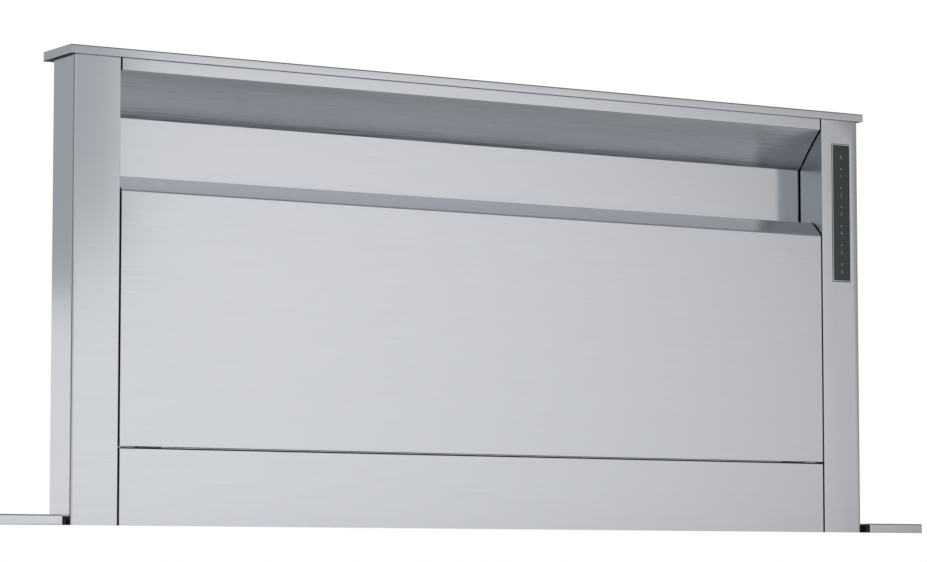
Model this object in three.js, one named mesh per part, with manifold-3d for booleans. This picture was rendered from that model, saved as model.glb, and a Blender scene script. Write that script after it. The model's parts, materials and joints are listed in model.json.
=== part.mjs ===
// A worktop downdraft vent, raised: a flat steel chimney that rises out of a slot behind a hob, the housing that
// hangs below the worktop with the chimney's lift, and the blower on the housing's front.
// Millimetres. X runs along the worktop, Y to the back and Z up. The pieces are made with the worktop at Z = 0,
// the chimney's middle at X = 0 and its front at Y = 0, and the whole model is then set on its own base.
import * as THREE from "three";
import { mergeVertices } from "three/addons/utils/BufferGeometryUtils.js";
import Module from "manifold-3d";

const wasm = await Module();
wasm.setup();

// ---- Driving dimensions ----

const gap = 0.3; // between neighbours that seat on each other
const seam = 1.5; // open joint around the front panels

// Chimney
const chimneyWidth = 780;
const chimneyDepth = 38;
const rise = 378.5; // worktop to the top of the cap
const tail = 130; // what stays below the worktop when the chimney is up
const sheet = 1.2; // gauge of the chimney's steel
const postWidth = 41;
const postCorner = 2.5;
const postFlange = 12;
const backRim = 2.7; // depth of the back panel's folded sides
const backSlit = 2; // open slit between the posts and the back panel

// Cap
const capHeight = 7;
const capFront = 3;
const capSide = 4;
const capLip = 2.4; // reach behind the slot collar
const capSheet = 1.5;
const capCorner = 6;

// Intake
const headerGap = 0.5;
const headerHeight = 9.6;
const headerFlange = 24;
const headerEndGap = 1.3;
const intakeHeight = 95.8;
const deflectorDrop = 33.6;
const deflectorSag = 0.8;
const deflectorFlange = 22;
const deflectorGap = 1;
const crossrailDepth = 11;
const crossrailHeight = 23;

// Front panels
const lowerPanelHeight = 61;
const lowerPanelFlange = 12;
const ledgeDepth = 12.6;
const panelFlange = 6;
const panelSide = 8;
const panelSideMargin = 9;
const restWidth = 20;
const restInset = 28;
const catchDepth = 8;
const catchWidth = 8;
const catchHeight = 30;
const catchDrop = 12; // below the top fold of the front panel
const braceHeight = 12;
const braceWall = 3.5;

// Grease filters
const filterHeight = 186;
const filterDepth = 9;
const filterBorder = 10;
const filterPad = 5;
const filterSplit = 2; // half of the space between the two filters
const filterFront = 8.2; // front of the filter's foot
const filterLean = 0.4; // room left where its head leans on the back panel
const filterEndGap = 3; // to the posts
const railClear = 0.6; // between the rail's lips and the filter's foot
const railLip = 8.7;
const railRearLip = 4.7;
const handleWidth = 70;
const handleReach = 8;
const handleWire = 3;

// Touch strip
const touchWidth = 20;
const touchHeight = 124;
const touchMargin = 9.2; // to the chimney's right edge
const touchDrop = 21.9; // below the cap
const touchRim = 0.9;
const touchFlange = 2.5;
const touchGlass = 2;
const touchRecess = 0.3;
const touchBoard = 1.6;

// Trim plates on the worktop
const plateLength = 59.7;
const plateHeight = 8.2;
const plateGap = 7.5;
const plateSheet = 1.5;
const plateRim = 8;
const plateInnerRim = 2.2;
const bracketSheet = 1.5;
const bracketArm = 30;
const bracketFoot = 8.8;
const bracketMargin = 11;

// Slot collar and housing
const worktop = 40; // thickness of the worktop that the collar passes through
const casing = 1.2; // gauge of the housing
const collarSide = 2.5;
const collarFront = 1.4;
const collarClear = 3; // between the racks and the collar
const housingSide = 20; // reach of the housing beyond the chimney
const housingFront = 12;
const plenum = 198.5; // room under the lowered chimney
const sealThickness = 1.7;
const sealHeight = 10;
const sealDepth = 36;

// Guides
const railWidth = 20;
const railLipWidth = 4.2;
const railFront = 9;
const railReach = 12.5;
const railOverrun = 20;
const shoeClear = 0.6;
const shoeLength = 80;
const shoeBelowLid = 6.8;
const stemWidth = 10;

// Rack and pinion
const gearModule = 2.5;
const pinionTeeth = 12;
const pressureAngle = THREE.MathUtils.degToRad(25);
const backlash = 0.3;
const dedendumShare = 1.24; // of the module
const rackBase = 6.1;
const gearWidth = 10;
const rackInset = 22; // from the chimney's side to the middle of the rack
const rackOverrun = 33;
const rackLead = 16;
const shaftRadius = 5;
const shaftBelowLid = 43.8;
const shaftEnd = 10; // stands out past the pinions
const pinionClear = 5.8; // to the back of the housing
const bearingWidth = 12;
const bearingRadius = 10;
const bearingInset = 16; // from the middle of the pinion

// Gearbox, motor and switches
const gearboxWidth = 64;
const gearboxFront = 13.5;
const gearboxTop = 25;
const gearboxBottom = 33;
const motorRadius = 20;
const motorLength = 100;
const motorSetback = 2;
const switchX = 205;
const switchWidth = 30;
const switchHeight = 28;
const switchFront = 5; // in front of the shaft's axis
const plungerRadius = 2.5;
const plungerLength = 2.5;
const tabWidth = 20;
const tabBehindShaft = 6;

// Blower
const fanHeight = 150; // axis above the floor
const fanRadius = 95;
const fanEye = 78;
const fanBlades = 20;
const bladeChord = 14;
const bladeAngle = THREE.MathUtils.degToRad(36);
const fanSheet = 1.5;
const fanFrontGap = 26; // housing to the fan wheel
const hubRadius = 14;
const hubLength = 28;
const scrollStart = 104; // radius at the tongue
const scrollSheet = 1.5;
const tongueAngle = THREE.MathUtils.degToRad(12);
const outletReach = 190;
const inletRadius = 76;
const inletDepth = 22;
const inletLip = 6; // the ring's throat is this much smaller than the fan's eye, and its flare this much larger
const plateMargin = 12; // motor plate beyond the scroll
const plateFoot = 24;
const fanMotorRadius = 44;
const fanMotorLength = 48;
const fanMotorFlange = 56;
const fanMotorNose = 30;
const fanMotorNoseLength = 11;

// Outlet
const ductRadius = 73.2; // outside of the spigot
const spigotLength = 88;
const spigotSheet = 1.2;
const spigotFacets = 40;
const outletPlate = 2;
const outletRim = 1.8; // on the plate before and behind the duct
const outletFlange = 6; // on the plate over and under the duct
const damperPinRadius = 2;
const damperPinInset = 13;
const flapSheet = 1;
const flapEdge = 2.6; // straight edge of a flap from the pin's axis
const flapClear = 1.5;

// Electrics
const boxWidth = 140;
const boxHeight = 160;
const boxDepth = 50;
const boxGap = 70; // from the scroll to the control box
const boxBelowLid = 130;
const boxSheet = 1.2;
const glandRadius = 10;
const glandNeck = 8; // radius of the nut under the gland's flange
const glandFlange = 6;
const glandBore = 4;
const glandLength = 18;

// ---- Derived dimensions ----

const halfWidth = chimneyWidth / 2;
const postInner = halfWidth - postWidth;
const travel = rise - capHeight; // the cap then lies on the collar
const capBottom = rise - capHeight;
const headerTop = capBottom - headerGap;
const headerBottom = headerTop - headerHeight;
const panelFold = headerBottom - intakeHeight;
const panelBottom = lowerPanelHeight + seam;
const panelHalf = postInner - seam;
const backFace = chimneyDepth - sheet - gap - backRim;
const backRear = backFace + sheet;
const postReturn = backFace - backSlit;
const bodyTop = rise - capSheet - gap; // top of what stands inside the cap

const addendum = gearModule;
const dedendum = dedendumShare * gearModule;
const rackPitch = Math.PI * gearModule;
const rackBack = backRear + gap;
const rackPitchY = rackBack + rackBase + dedendum;
const rackTip = rackPitchY + addendum;
const rackX = halfWidth - rackInset;
const pinionRadius = (gearModule * pinionTeeth) / 2;
const pinionTip = pinionRadius + addendum;
const shaftY = rackPitchY + pinionRadius;

const collarBack = rackTip + collarClear;
const collarX = halfWidth + collarSide;
const capBack = collarBack + casing + capLip;
const lid = -worktop; // top of the housing
const lidBottom = lid - casing;
const shaftZ = lidBottom - shaftBelowLid;
const housingX = halfWidth + housingSide;
const housingBack = shaftY + pinionTip + pinionClear + casing;
const backInside = housingBack - casing;
const frontInside = casing - housingFront;
const wallTop = lidBottom - gap;
const floor = -(tail + travel + plenum);

const fanZ = floor + fanHeight;
const scrollDepth = 2 * (ductRadius + outletRim);
const tongueRise = scrollStart * Math.sin(tongueAngle);
const scrollEnd = tongueRise + 2 * ductRadius; // radius at the outlet, which is as high as the duct
const scrollBack = -housingFront - gap;
const scrollFront = scrollBack - scrollDepth;
const motorPlateBack = scrollFront - gap;
const motorPlateFront = motorPlateBack - scrollSheet;
const outletZ = fanZ + tongueRise + ductRadius;
const outletY = (scrollBack + scrollFront) / 2;
const outletX = outletReach + gap;
const damperX = outletX + outletPlate + damperPinInset;
const fanMotorEnd = motorPlateFront - gap - fanMotorLength;
const wheelFront = scrollBack - fanFrontGap;
const wheelBack = motorPlateBack + fanMotorNoseLength + fanSheet;

// ---- Finishes ----

const finishes = {
  stainless: { color: 0xc3c6c9, metalness: 1, roughness: 0.34 },
  galvanised: { color: 0xb4b8ba, metalness: 1, roughness: 0.5 },
  machinedSteel: { color: 0x8d9093, metalness: 1, roughness: 0.4 },
  aluminium: { color: 0xd0d2d4, metalness: 1, roughness: 0.45 },
  blackGlass: { color: 0x343938, metalness: 0, roughness: 0.2 },
  darkPlastic: { color: 0x26282a, metalness: 0, roughness: 0.55 },
  paleNylon: { color: 0xe6e4dc, metalness: 0, roughness: 0.5 },
  greenBoard: { color: 0x2f6b45, metalness: 0, roughness: 0.6 },
  blackPaint: { color: 0x2b2d30, metalness: 0.3, roughness: 0.5 },
  rubber: { color: 0x1c1d1e, metalness: 0, roughness: 0.85 },
};

// ---- Shape helpers ----

const at = (x, y) => new THREE.Vector2(x, y);
const sides = [
  ["left", -1],
  ["right", 1],
];

function add(parent, name, geometry, finish) {
  const mesh = new THREE.Mesh(
    geometry,
    new THREE.MeshStandardMaterial(finishes[finish]),
  );
  mesh.name = name;
  parent.add(mesh);
  return mesh;
}

function box(x, y, z) {
  const size = [x, y, z].map(([low, high]) => high - low);
  const middle = [x, y, z].map(([low, high]) => (low + high) / 2);
  return new THREE.BoxGeometry(...size).translate(...middle);
}

// A span that is centred on a value, or that is turned to the left or the right side.
const around = (middle, width) => [middle - width / 2, middle + width / 2];
const onSide = (side, inner, outer) =>
  side < 0 ? [-outer, -inner] : [inner, outer];

function toSolid(geometry) {
  const bare = new THREE.BufferGeometry();
  bare.setAttribute("position", geometry.getAttribute("position").clone());
  bare.setIndex(geometry.index);
  const merged = mergeVertices(bare, 1e-4);
  return new wasm.Manifold(
    new wasm.Mesh({
      numProp: 3,
      vertProperties: merged.attributes.position.array,
      triVerts: new Uint32Array(merged.index.array),
    }),
  );
}

function toGeometry(solid) {
  const mesh = solid.getMesh();
  const geometry = new THREE.BufferGeometry();
  geometry.setAttribute(
    "position",
    new THREE.BufferAttribute(mesh.vertProperties, 3),
  );
  geometry.setIndex(new THREE.BufferAttribute(mesh.triVerts, 1));
  geometry.computeVertexNormals();
  return geometry;
}

const join = (first, ...others) =>
  toGeometry(others.reduce((sum, g) => sum.add(toSolid(g)), toSolid(first)));
const cut = (first, ...others) =>
  toGeometry(
    others.reduce((rest, g) => rest.subtract(toSolid(g)), toSolid(first)),
  );

// A flat outline given a thickness along one axis. The outline's two coordinates are (y, z) along X, (x, z) along
// Y and (x, y) along Z.
function extrude(outline, axis, [low, high], curveSegments = 8) {
  const isShape = outline instanceof THREE.Shape;
  const shape = isShape ? outline : new THREE.Shape(outline);
  const geometry = new THREE.ExtrudeGeometry(shape, {
    depth: high - low,
    bevelEnabled: false,
    curveSegments,
  });
  const [X, Y, Z] = [0, 1, 2].map((i) => new THREE.Vector3().setComponent(i, 1));
  const frames = {
    x: new THREE.Matrix4().makeBasis(Y, Z, X).setPosition(low, 0, 0),
    y: new THREE.Matrix4()
      .makeBasis(X, Z, Y.clone().negate())
      .setPosition(0, high, 0),
    z: new THREE.Matrix4().makeBasis(X, Y, Z).setPosition(0, 0, low),
  };
  return geometry.applyMatrix4(frames[axis]);
}

// The section of a folded sheet. The path is one face of it, and the sheet lies to the left of the path.
function fold(path, thickness) {
  const direction = (i) => path[i + 1].clone().sub(path[i]).normalize();
  const left = (d) => at(-d.y, d.x);
  const last = path.length - 1;
  const other = path.map((p, i) => {
    const before = left(direction(Math.max(i - 1, 0)));
    const after = left(direction(Math.min(i, last - 1)));
    const middle = before.clone().add(after).normalize();
    return p.clone().addScaledVector(middle, thickness / middle.dot(before));
  });
  return [...path, ...other.reverse()];
}

function arc(centre, radius, from, to, steps) {
  return Array.from({ length: steps + 1 }, (_, i) => {
    const angle = from + ((to - from) * i) / steps;
    return at(
      centre.x + radius * Math.cos(angle),
      centre.y + radius * Math.sin(angle),
    );
  });
}

function rectangle([x0, x1], [y0, y1]) {
  return new THREE.Shape([at(x0, y0), at(x1, y0), at(x1, y1), at(x0, y1)]);
}

function withHole(shape, hole) {
  shape.holes.push(hole);
  return shape;
}

function roundHole(x, y, radius) {
  return new THREE.Path().absarc(x, y, radius, 0, 2 * Math.PI, true);
}

// A turned piece with its axis along Y: its half section has points (radius, y).
function turned(section, segments = 32) {
  const onAxis = section[0].x === 0;
  const closed = onAxis ? section : [...section, section[0]];
  const outward = THREE.ShapeUtils.area(section) > 0;
  const points = outward ? closed : [...closed].reverse();
  return new THREE.LatheGeometry(points, segments);
}

// ---- Chimney ----

function post(side) {
  const section = fold(
    [
      at(halfWidth - postFlange, chimneyDepth),
      at(halfWidth, chimneyDepth),
      ...arc(
        at(halfWidth - postCorner, postCorner),
        postCorner,
        0,
        -Math.PI / 2,
        3,
      ),
      at(postInner, 0),
      at(postInner, postReturn),
    ],
    -sheet,
  );
  const placed = section.map((p) => at(side * p.x, p.y));
  return extrude(placed, "z", [-tail, bodyTop]);
}

const touchX = halfWidth - touchMargin - touchWidth / 2;
const touchZ = capBottom - touchDrop - touchHeight / 2;

function touchFrame(grow, y) {
  return box(
    around(touchX, touchWidth + 2 * grow),
    y,
    around(touchZ, touchHeight + 2 * grow),
  );
}

function rightPost() {
  return cut(post(1), touchFrame(gap, [-sheet, 2 * sheet]));
}

function touchBezel() {
  const backOfSheet = sheet + gap;
  const rear = backOfSheet + sheet;
  const ring = touchFrame(0, [-touchRecess, rear]);
  const flange = touchFrame(touchFlange, [backOfSheet, rear]);
  return cut(join(ring, flange), touchFrame(-touchRim, [-sheet, 2 * rear]));
}

function cap() {
  const x = halfWidth + capSide;
  const cornerX = x - capCorner;
  const cornerY = capBack - capCorner;
  const outline = new THREE.Shape();
  outline.moveTo(-x, -capFront);
  outline.lineTo(x, -capFront);
  outline.lineTo(x, cornerY);
  outline.absarc(cornerX, cornerY, capCorner, 0, Math.PI / 2);
  outline.absarc(-cornerX, cornerY, capCorner, Math.PI / 2, Math.PI);
  const inside = box(
    [capSheet - x, x - capSheet],
    [capSheet - capFront, capBack - capSheet],
    [capBottom - capSheet, rise - capSheet],
  );
  return cut(extrude(outline, "z", [capBottom, rise], 4), inside);
}

const postSpan = [gap - postInner, postInner - gap];

function headerRail() {
  const half = postInner - headerEndGap;
  const section = fold(
    [
      at(headerFlange, headerTop),
      at(0, headerTop),
      at(0, headerBottom),
    ],
    sheet,
  );
  return extrude(section, "x", [-half, half]);
}

const deflectorRear = backFace - deflectorGap;
const crossrailBack = deflectorRear - sheet - gap;

// The crossrail ties the posts and carries the header rail on top and the deflector's flange behind.
function topCrossrail() {
  const top = headerTop - sheet - gap;
  const section = fold(
    [
      at(crossrailBack - crossrailDepth, top - crossrailHeight),
      at(crossrailBack - crossrailDepth, top),
      at(crossrailBack, top),
      at(crossrailBack, top - crossrailHeight),
    ],
    -sheet,
  );
  return extrude(section, "x", postSpan);
}

// The deflector starts behind the header rail's lower edge and slopes back and down to the back panel.
function deflector() {
  const top = at(sheet + gap, headerBottom);
  const bottom = at(deflectorRear, top.y - deflectorDrop);
  const chord = bottom.clone().sub(top);
  const sagDirection = at(-chord.y, chord.x).normalize();
  const steps = 4;
  const face = Array.from({ length: steps + 1 }, (_, i) => {
    const share = i / steps;
    const sag = 4 * deflectorSag * share * (1 - share);
    return top
      .clone()
      .addScaledVector(chord, share)
      .addScaledVector(sagDirection, sag);
  });
  const flangeTop = at(deflectorRear, bottom.y + deflectorFlange);
  const half = postInner - deflectorGap;
  return extrude(fold([...face, flangeTop], sheet), "x", [-half, half]);
}

// The back panel has folded sides, and a tab at its foot that works the lift's two limit switches.
function backPanel() {
  const half = halfWidth - sheet - gap;
  const section = fold(
    [
      at(-half, backFace + backRim),
      at(-half, backFace),
      at(half, backFace),
      at(half, backFace + backRim),
    ],
    sheet,
  );
  const tab = box(
    around(switchX, tabWidth),
    [backFace + sheet / 2, shaftY + tabBehindShaft],
    [-tail, -tail + sheet],
  );
  return join(extrude(section, "z", [-tail, bodyTop]), tab);
}

function lowerFrontPanel() {
  const section = fold(
    [
      at(lowerPanelFlange, lowerPanelHeight),
      at(0, lowerPanelHeight),
      at(0, -tail),
      at(panelFlange, -tail),
    ],
    sheet,
  );
  return extrude(section, "x", [-panelHalf, panelHalf]);
}

// The front panel stands on the lower panel's top fold with two rests under its own bottom fold.
function frontPanel() {
  const section = fold(
    [
      at(ledgeDepth, panelFold + ledgeDepth),
      at(0, panelFold),
      at(0, panelBottom),
      at(panelFlange, panelBottom),
    ],
    sheet,
  );
  const returns = sides.map(([, side]) =>
    box(
      onSide(side, panelHalf - sheet, panelHalf),
      [sheet / 2, panelSide],
      [panelBottom + panelSideMargin + sheet, panelFold - sheet],
    ),
  );
  const rests = sides.map(([, side]) =>
    box(
      around(side * (panelHalf - restInset), restWidth),
      [2 * sheet, panelFlange - sheet],
      [lowerPanelHeight + gap, panelBottom + sheet / 2],
    ),
  );
  return join(extrude(section, "x", [-panelHalf, panelHalf]), ...returns, ...rests);
}

function panelCatch(side) {
  const x = onSide(side, postInner - gap - catchWidth, postInner - gap);
  const y = [panelSide + gap, panelSide + gap + catchDepth];
  const top = panelFold - catchDrop;
  return box(x, y, [top - catchHeight, top]);
}

// An open frame that keeps the chimney's foot square.
function bottomBrace() {
  const outer = rectangle(postSpan, [sheet + gap, backFace - gap]);
  const inner = rectangle(
    [postSpan[0] + braceWall, postSpan[1] - braceWall],
    [sheet + gap + braceWall, backFace - gap - braceWall],
  );
  const low = sheet + gap - tail;
  return extrude(withHole(outer, inner), "z", [low, low + braceHeight]);
}

// ---- Grease filters ----

const railFrontLip = filterFront - railClear - sheet;
const railFloor = lowerPanelHeight + gap;

function filterRail() {
  const back = railFrontLip + filterDepth + 2 * (sheet + railClear);
  const section = fold(
    [
      at(railFrontLip, railFloor + railLip),
      at(railFrontLip, railFloor),
      at(back, railFloor),
      at(back, railFloor + railRearLip),
    ],
    sheet,
  );
  return extrude(section, "x", postSpan);
}

// Each filter stands in the rail and leans back until its head is against the back panel.
const filterReach = backFace - filterLean - filterFront;
const filterTilt =
  Math.asin(filterReach / Math.hypot(filterDepth, filterHeight)) -
  Math.atan2(filterDepth, filterHeight);
const filterFoot =
  railFloor + sheet + gap + filterDepth * Math.sin(filterTilt);

function filterGroup(side) {
  const group = new THREE.Group();
  const outer = postInner - filterEndGap;
  const [low, high] = onSide(side, filterSplit, outer);
  const width = high - low;
  group.position.set(low, filterFront, filterFoot);
  group.rotation.x = -filterTilt;
  const name = side < 0 ? "left" : "right";

  const border = rectangle([0, width], [0, filterHeight]);
  const opening = rectangle(
    [filterBorder, width - filterBorder],
    [filterBorder, filterHeight - filterBorder],
  );
  const frame = extrude(withHole(border, opening), "y", [0, filterDepth]);
  add(group, "filter_frame_" + name, frame, "aluminium");

  const inset = filterBorder + gap;
  const pad = box(
    [inset, width - inset],
    around(filterDepth / 2, filterPad),
    [inset, filterHeight - inset],
  );
  add(group, "filter_mesh_" + name, pad, "aluminium");

  const handle = add(
    group,
    "filter_handle_" + name,
    filterHandle(),
    "machinedSteel",
  );
  handle.position.set(
    width / 2,
    -handleWire / 2 - gap,
    filterHeight - filterBorder / 2,
  );
  return group;
}

// A bent wire with its two feet on the filter's frame.
function filterHandle() {
  const bend = 2 * handleWire;
  const half = handleWidth / 2;
  const corner = (x0, y0, xc, yc, x1, y1) =>
    new THREE.QuadraticBezierCurve3(
      new THREE.Vector3(x0, y0, 0),
      new THREE.Vector3(xc, yc, 0),
      new THREE.Vector3(x1, y1, 0),
    );
  const front = -handleReach;
  const path = new THREE.CurvePath();
  path.add(
    new THREE.LineCurve3(
      new THREE.Vector3(-half, handleWire / 2, 0),
      new THREE.Vector3(-half, front + bend, 0),
    ),
  );
  path.add(corner(-half, front + bend, -half, front, bend - half, front));
  path.add(
    new THREE.LineCurve3(
      new THREE.Vector3(bend - half, front, 0),
      new THREE.Vector3(half - bend, front, 0),
    ),
  );
  path.add(corner(half - bend, front, half, front, half, front + bend));
  path.add(
    new THREE.LineCurve3(
      new THREE.Vector3(half, front + bend, 0),
      new THREE.Vector3(half, handleWire / 2, 0),
    ),
  );
  const wire = new THREE.Shape().absarc(0, 0, handleWire / 2, 0, 2 * Math.PI);
  return new THREE.ExtrudeGeometry(wire, {
    steps: 24,
    curveSegments: 4,
    extrudePath: path,
  });
}

// ---- Rack and pinion ----

const toothHalf = (rackPitch - backlash) / 4;

// The rack's teeth are cut so that a pinion tooth that points at the rack lies in the middle of a space.
function rack() {
  const low = shaftZ - rackOverrun;
  const high = shaftZ + travel + rackLead;
  const slope = Math.tan(pressureAngle);
  const tipHalf = toothHalf - addendum * slope;
  const rootHalf = toothHalf + dedendum * slope;
  const root = rackPitchY - dedendum;
  const first = Math.ceil((low + rootHalf - shaftZ) / rackPitch - 0.5);
  const last = Math.floor((high - rootHalf - shaftZ) / rackPitch - 0.5);
  const teeth = [];
  for (let k = first; k <= last; k++) {
    const z = shaftZ + (k + 0.5) * rackPitch;
    teeth.push(
      at(root, z - rootHalf),
      at(rackTip, z - tipHalf),
      at(rackTip, z + tipHalf),
      at(root, z + rootHalf),
    );
  }
  const outline = [
    at(rackBack, high),
    at(rackBack, low),
    at(root, low),
    ...teeth,
    at(root, high),
  ];
  return extrude(outline, "x", around(0, gearWidth));
}

// An involute pinion, with one tooth pointing along -Y.
function pinion() {
  const base = pinionRadius * Math.cos(pressureAngle);
  const involute = (angle) => Math.tan(angle) - angle;
  const halfAngle = (radius) =>
    toothHalf / pinionRadius +
    involute(pressureAngle) -
    involute(Math.acos(Math.min(base / radius, 1)));
  const radii = [
    pinionRadius - dedendum,
    base,
    (base + pinionTip) / 2,
    pinionTip,
  ];
  const outline = [];
  for (let tooth = 0; tooth < pinionTeeth; tooth++) {
    const middle = Math.PI + (tooth * 2 * Math.PI) / pinionTeeth;
    const flank = (radius, side) => {
      const angle = middle + side * halfAngle(Math.max(radius, base));
      return at(radius * Math.cos(angle), radius * Math.sin(angle));
    };
    outline.push(...radii.map((radius) => flank(radius, -1)));
    outline.push(...[...radii].reverse().map((radius) => flank(radius, 1)));
  }
  const shape = new THREE.Shape(outline);
  withHole(shape, roundHole(0, 0, shaftRadius + gap));
  return extrude(shape, "x", around(0, gearWidth));
}

function liftShaft() {
  const half = rackX + gearWidth / 2 + shaftEnd;
  return new THREE.CylinderGeometry(
    shaftRadius,
    shaftRadius,
    2 * half,
    24,
  ).rotateZ(Math.PI / 2);
}

// A pillow block: its base is on the housing's back, and its nose holds the shaft. Made with the shaft at 0.
function bearing() {
  const base = backInside - gap - shaftY;
  const shape = new THREE.Shape([
    at(base, -bearingRadius),
    at(base, bearingRadius),
    ...arc(at(0, 0), bearingRadius, Math.PI / 2, (3 * Math.PI) / 2, 8),
  ]);
  withHole(shape, roundHole(0, 0, shaftRadius + gap));
  return extrude(shape, "x", around(0, bearingWidth));
}

function liftGearbox() {
  const shape = rectangle(
    [-gearboxFront, backInside - gap - shaftY],
    [-gearboxBottom, gearboxTop],
  );
  withHole(shape, roundHole(0, 0, shaftRadius + gap));
  return extrude(shape, "x", around(0, gearboxWidth));
}

function liftMotor() {
  const top = shaftZ - gearboxBottom - gap;
  return new THREE.CylinderGeometry(motorRadius, motorRadius, motorLength, 28)
    .rotateX(Math.PI / 2)
    .translate(0, shaftY + motorSetback, top - motorLength / 2);
}

// A limit switch with its plunger towards the chimney's tab: facing is -1 for one that looks down.
function limitSwitch(tabFace, facing) {
  const tip = tabFace - facing * gap;
  const body = tip - facing * plungerLength;
  const far = body - facing * switchHeight;
  const block = box(
    around(switchX, switchWidth),
    [shaftY - switchFront, backInside - gap],
    facing < 0 ? [body, far] : [far, body],
  );
  const plunger = new THREE.CylinderGeometry(
    plungerRadius,
    plungerRadius,
    2 * plungerLength,
    12,
  )
    .rotateX(Math.PI / 2)
    .translate(switchX, shaftY, tip - facing * plungerLength);
  return join(block, plunger);
}

// ---- Guides ----

const railX = housingX - casing - gap; // back of the guide rail
const lipX = railX - railReach;

function guideRail(side) {
  const back = railFront + railWidth;
  const section = fold(
    [
      at(lipX, railFront + railLipWidth),
      at(lipX, railFront),
      at(railX, railFront),
      at(railX, back),
      at(lipX, back),
      at(lipX, back - railLipWidth),
    ],
    sheet,
  );
  const placed = section.map((p) => at(side * p.x, p.y));
  const low = -(tail + travel + railOverrun);
  return extrude(placed, "z", [low, lidBottom - gap]);
}

// A nylon shoe with a head that runs inside the rail and a stem between the rail's lips.
function guideShoe(side) {
  const top = lidBottom - shoeBelowLid;
  const z = [top - shoeLength, top];
  const middle = railFront + railWidth / 2;
  const head = box(
    onSide(side, lipX + sheet + shoeClear, railX - sheet - shoeClear),
    around(middle, railWidth - 2 * sheet - 2 * shoeClear),
    z,
  );
  const stem = box(
    onSide(side, halfWidth + gap, lipX + 2 * sheet + shoeClear),
    around(middle, stemWidth),
    z,
  );
  return join(head, stem);
}

// ---- Slot collar, trim plates and housing ----

const collarY = [-collarFront, collarBack];
const outerCollarY = [-collarFront - casing, collarBack + casing];

function slotCollar() {
  const mouth = () => rectangle([-collarX, collarX], collarY);
  const outerX = collarX + casing;
  const wall = withHole(rectangle([-outerX, outerX], outerCollarY), mouth());
  const cover = withHole(
    rectangle([-housingX, housingX], [-housingFront, housingBack]),
    mouth(),
  );
  return join(
    extrude(cover, "z", [lidBottom, lid]),
    extrude(wall, "z", [lidBottom + casing / 2, -gap]),
  );
}

function slotSeal(side) {
  const x = onSide(side, collarX - gap - sealThickness, collarX - gap);
  return box(x, [gap, sealDepth], [-2 * gap - sealHeight, -2 * gap]);
}

const plateInner = halfWidth + plateGap;
const plateY = [-capFront, capBack];
const pocketTop = plateHeight - plateSheet;

function trimPlate(side) {
  const plate = box(
    onSide(side, plateInner, plateInner + plateLength),
    plateY,
    [0, plateHeight],
  );
  const pocket = box(
    onSide(
      side,
      plateInner + plateInnerRim,
      plateInner + plateLength - plateRim,
    ),
    [plateY[0] + plateRim, plateY[1] - plateRim],
    [-plateHeight, pocketTop],
  );
  return cut(plate, pocket);
}

// A bracket from the trim plate's pocket down through the worktop to the housing's lid.
function mountBracket(side) {
  const x = plateInner + plateInnerRim + gap;
  const section = fold(
    [
      at(x + bracketArm, pocketTop - gap),
      at(x, pocketTop - gap),
      at(x, lid + gap),
      at(x + bracketFoot, lid + gap),
    ],
    bracketSheet,
  );
  const placed = section.map((p) => at(side * p.x, p.y));
  const y = [plateY[0] + bracketMargin, plateY[1] - bracketMargin];
  return extrude(placed, "y", y);
}

const wallZ = [floor, wallTop];
const innerY = [frontInside + gap, backInside - gap];

function housingFrontSheet() {
  const shape = rectangle([-housingX, housingX], wallZ);
  withHole(shape, roundHole(0, fanZ, inletRadius));
  return extrude(shape, "y", [-housingFront, frontInside], 18);
}

function housingBackSheet() {
  return box([-housingX, housingX], [backInside, housingBack], wallZ);
}

function housingSideSheet(side) {
  return box(onSide(side, housingX - casing, housingX), innerY, wallZ);
}

function housingBottom() {
  const x = housingX - casing - gap;
  return box([-x, x], innerY, [floor, floor + casing]);
}

// ---- Blower, made with the fan's axis at X = 0, Z = 0 ----

// The scroll's wall runs from the outlet's lower side over the tongue, round the fan and out along the top.
function blowerScroll() {
  const steps = 24;
  const sweep = 1.5 * Math.PI + tongueAngle;
  const spiral = Array.from({ length: steps + 1 }, (_, i) => {
    const radius = scrollStart + ((scrollEnd - scrollStart) * i) / steps;
    const angle = tongueAngle - (sweep * i) / steps;
    return at(radius * Math.cos(angle), radius * Math.sin(angle));
  });
  const path = [
    at(outletReach, tongueRise),
    ...spiral,
    at(outletReach, scrollEnd),
  ];
  return extrude(fold(path, scrollSheet), "y", [scrollFront, scrollBack]);
}

// A plate in front of the scroll carries the motor, and its folded foot stands on the floor.
function motorPlate() {
  const x = [-scrollEnd, outletReach];
  const z = [floor - fanZ, scrollEnd + plateMargin];
  const shape = rectangle(x, z);
  withHole(shape, roundHole(0, 0, fanMotorNose + gap));
  const plate = extrude(shape, "y", [motorPlateFront, motorPlateBack], 12);
  const foot = box(
    x,
    [motorPlateBack - scrollSheet / 2, motorPlateBack + plateFoot],
    [z[0], z[0] + scrollSheet],
  );
  return join(plate, foot);
}

// A rolled ring that leads the air from the housing into the fan's eye.
function inletRing() {
  const back = scrollBack;
  const front = scrollBack - inletDepth;
  const throat = fanEye - inletLip;
  const flare = inletRadius + inletLip;
  return turned([
    at(flare, back),
    at(throat, back - 2 * fanSheet),
    at(throat, front),
    at(throat + fanSheet, front),
    at(throat + fanSheet, back - 3 * fanSheet),
    at(flare, back - fanSheet),
  ]);
}

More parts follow.
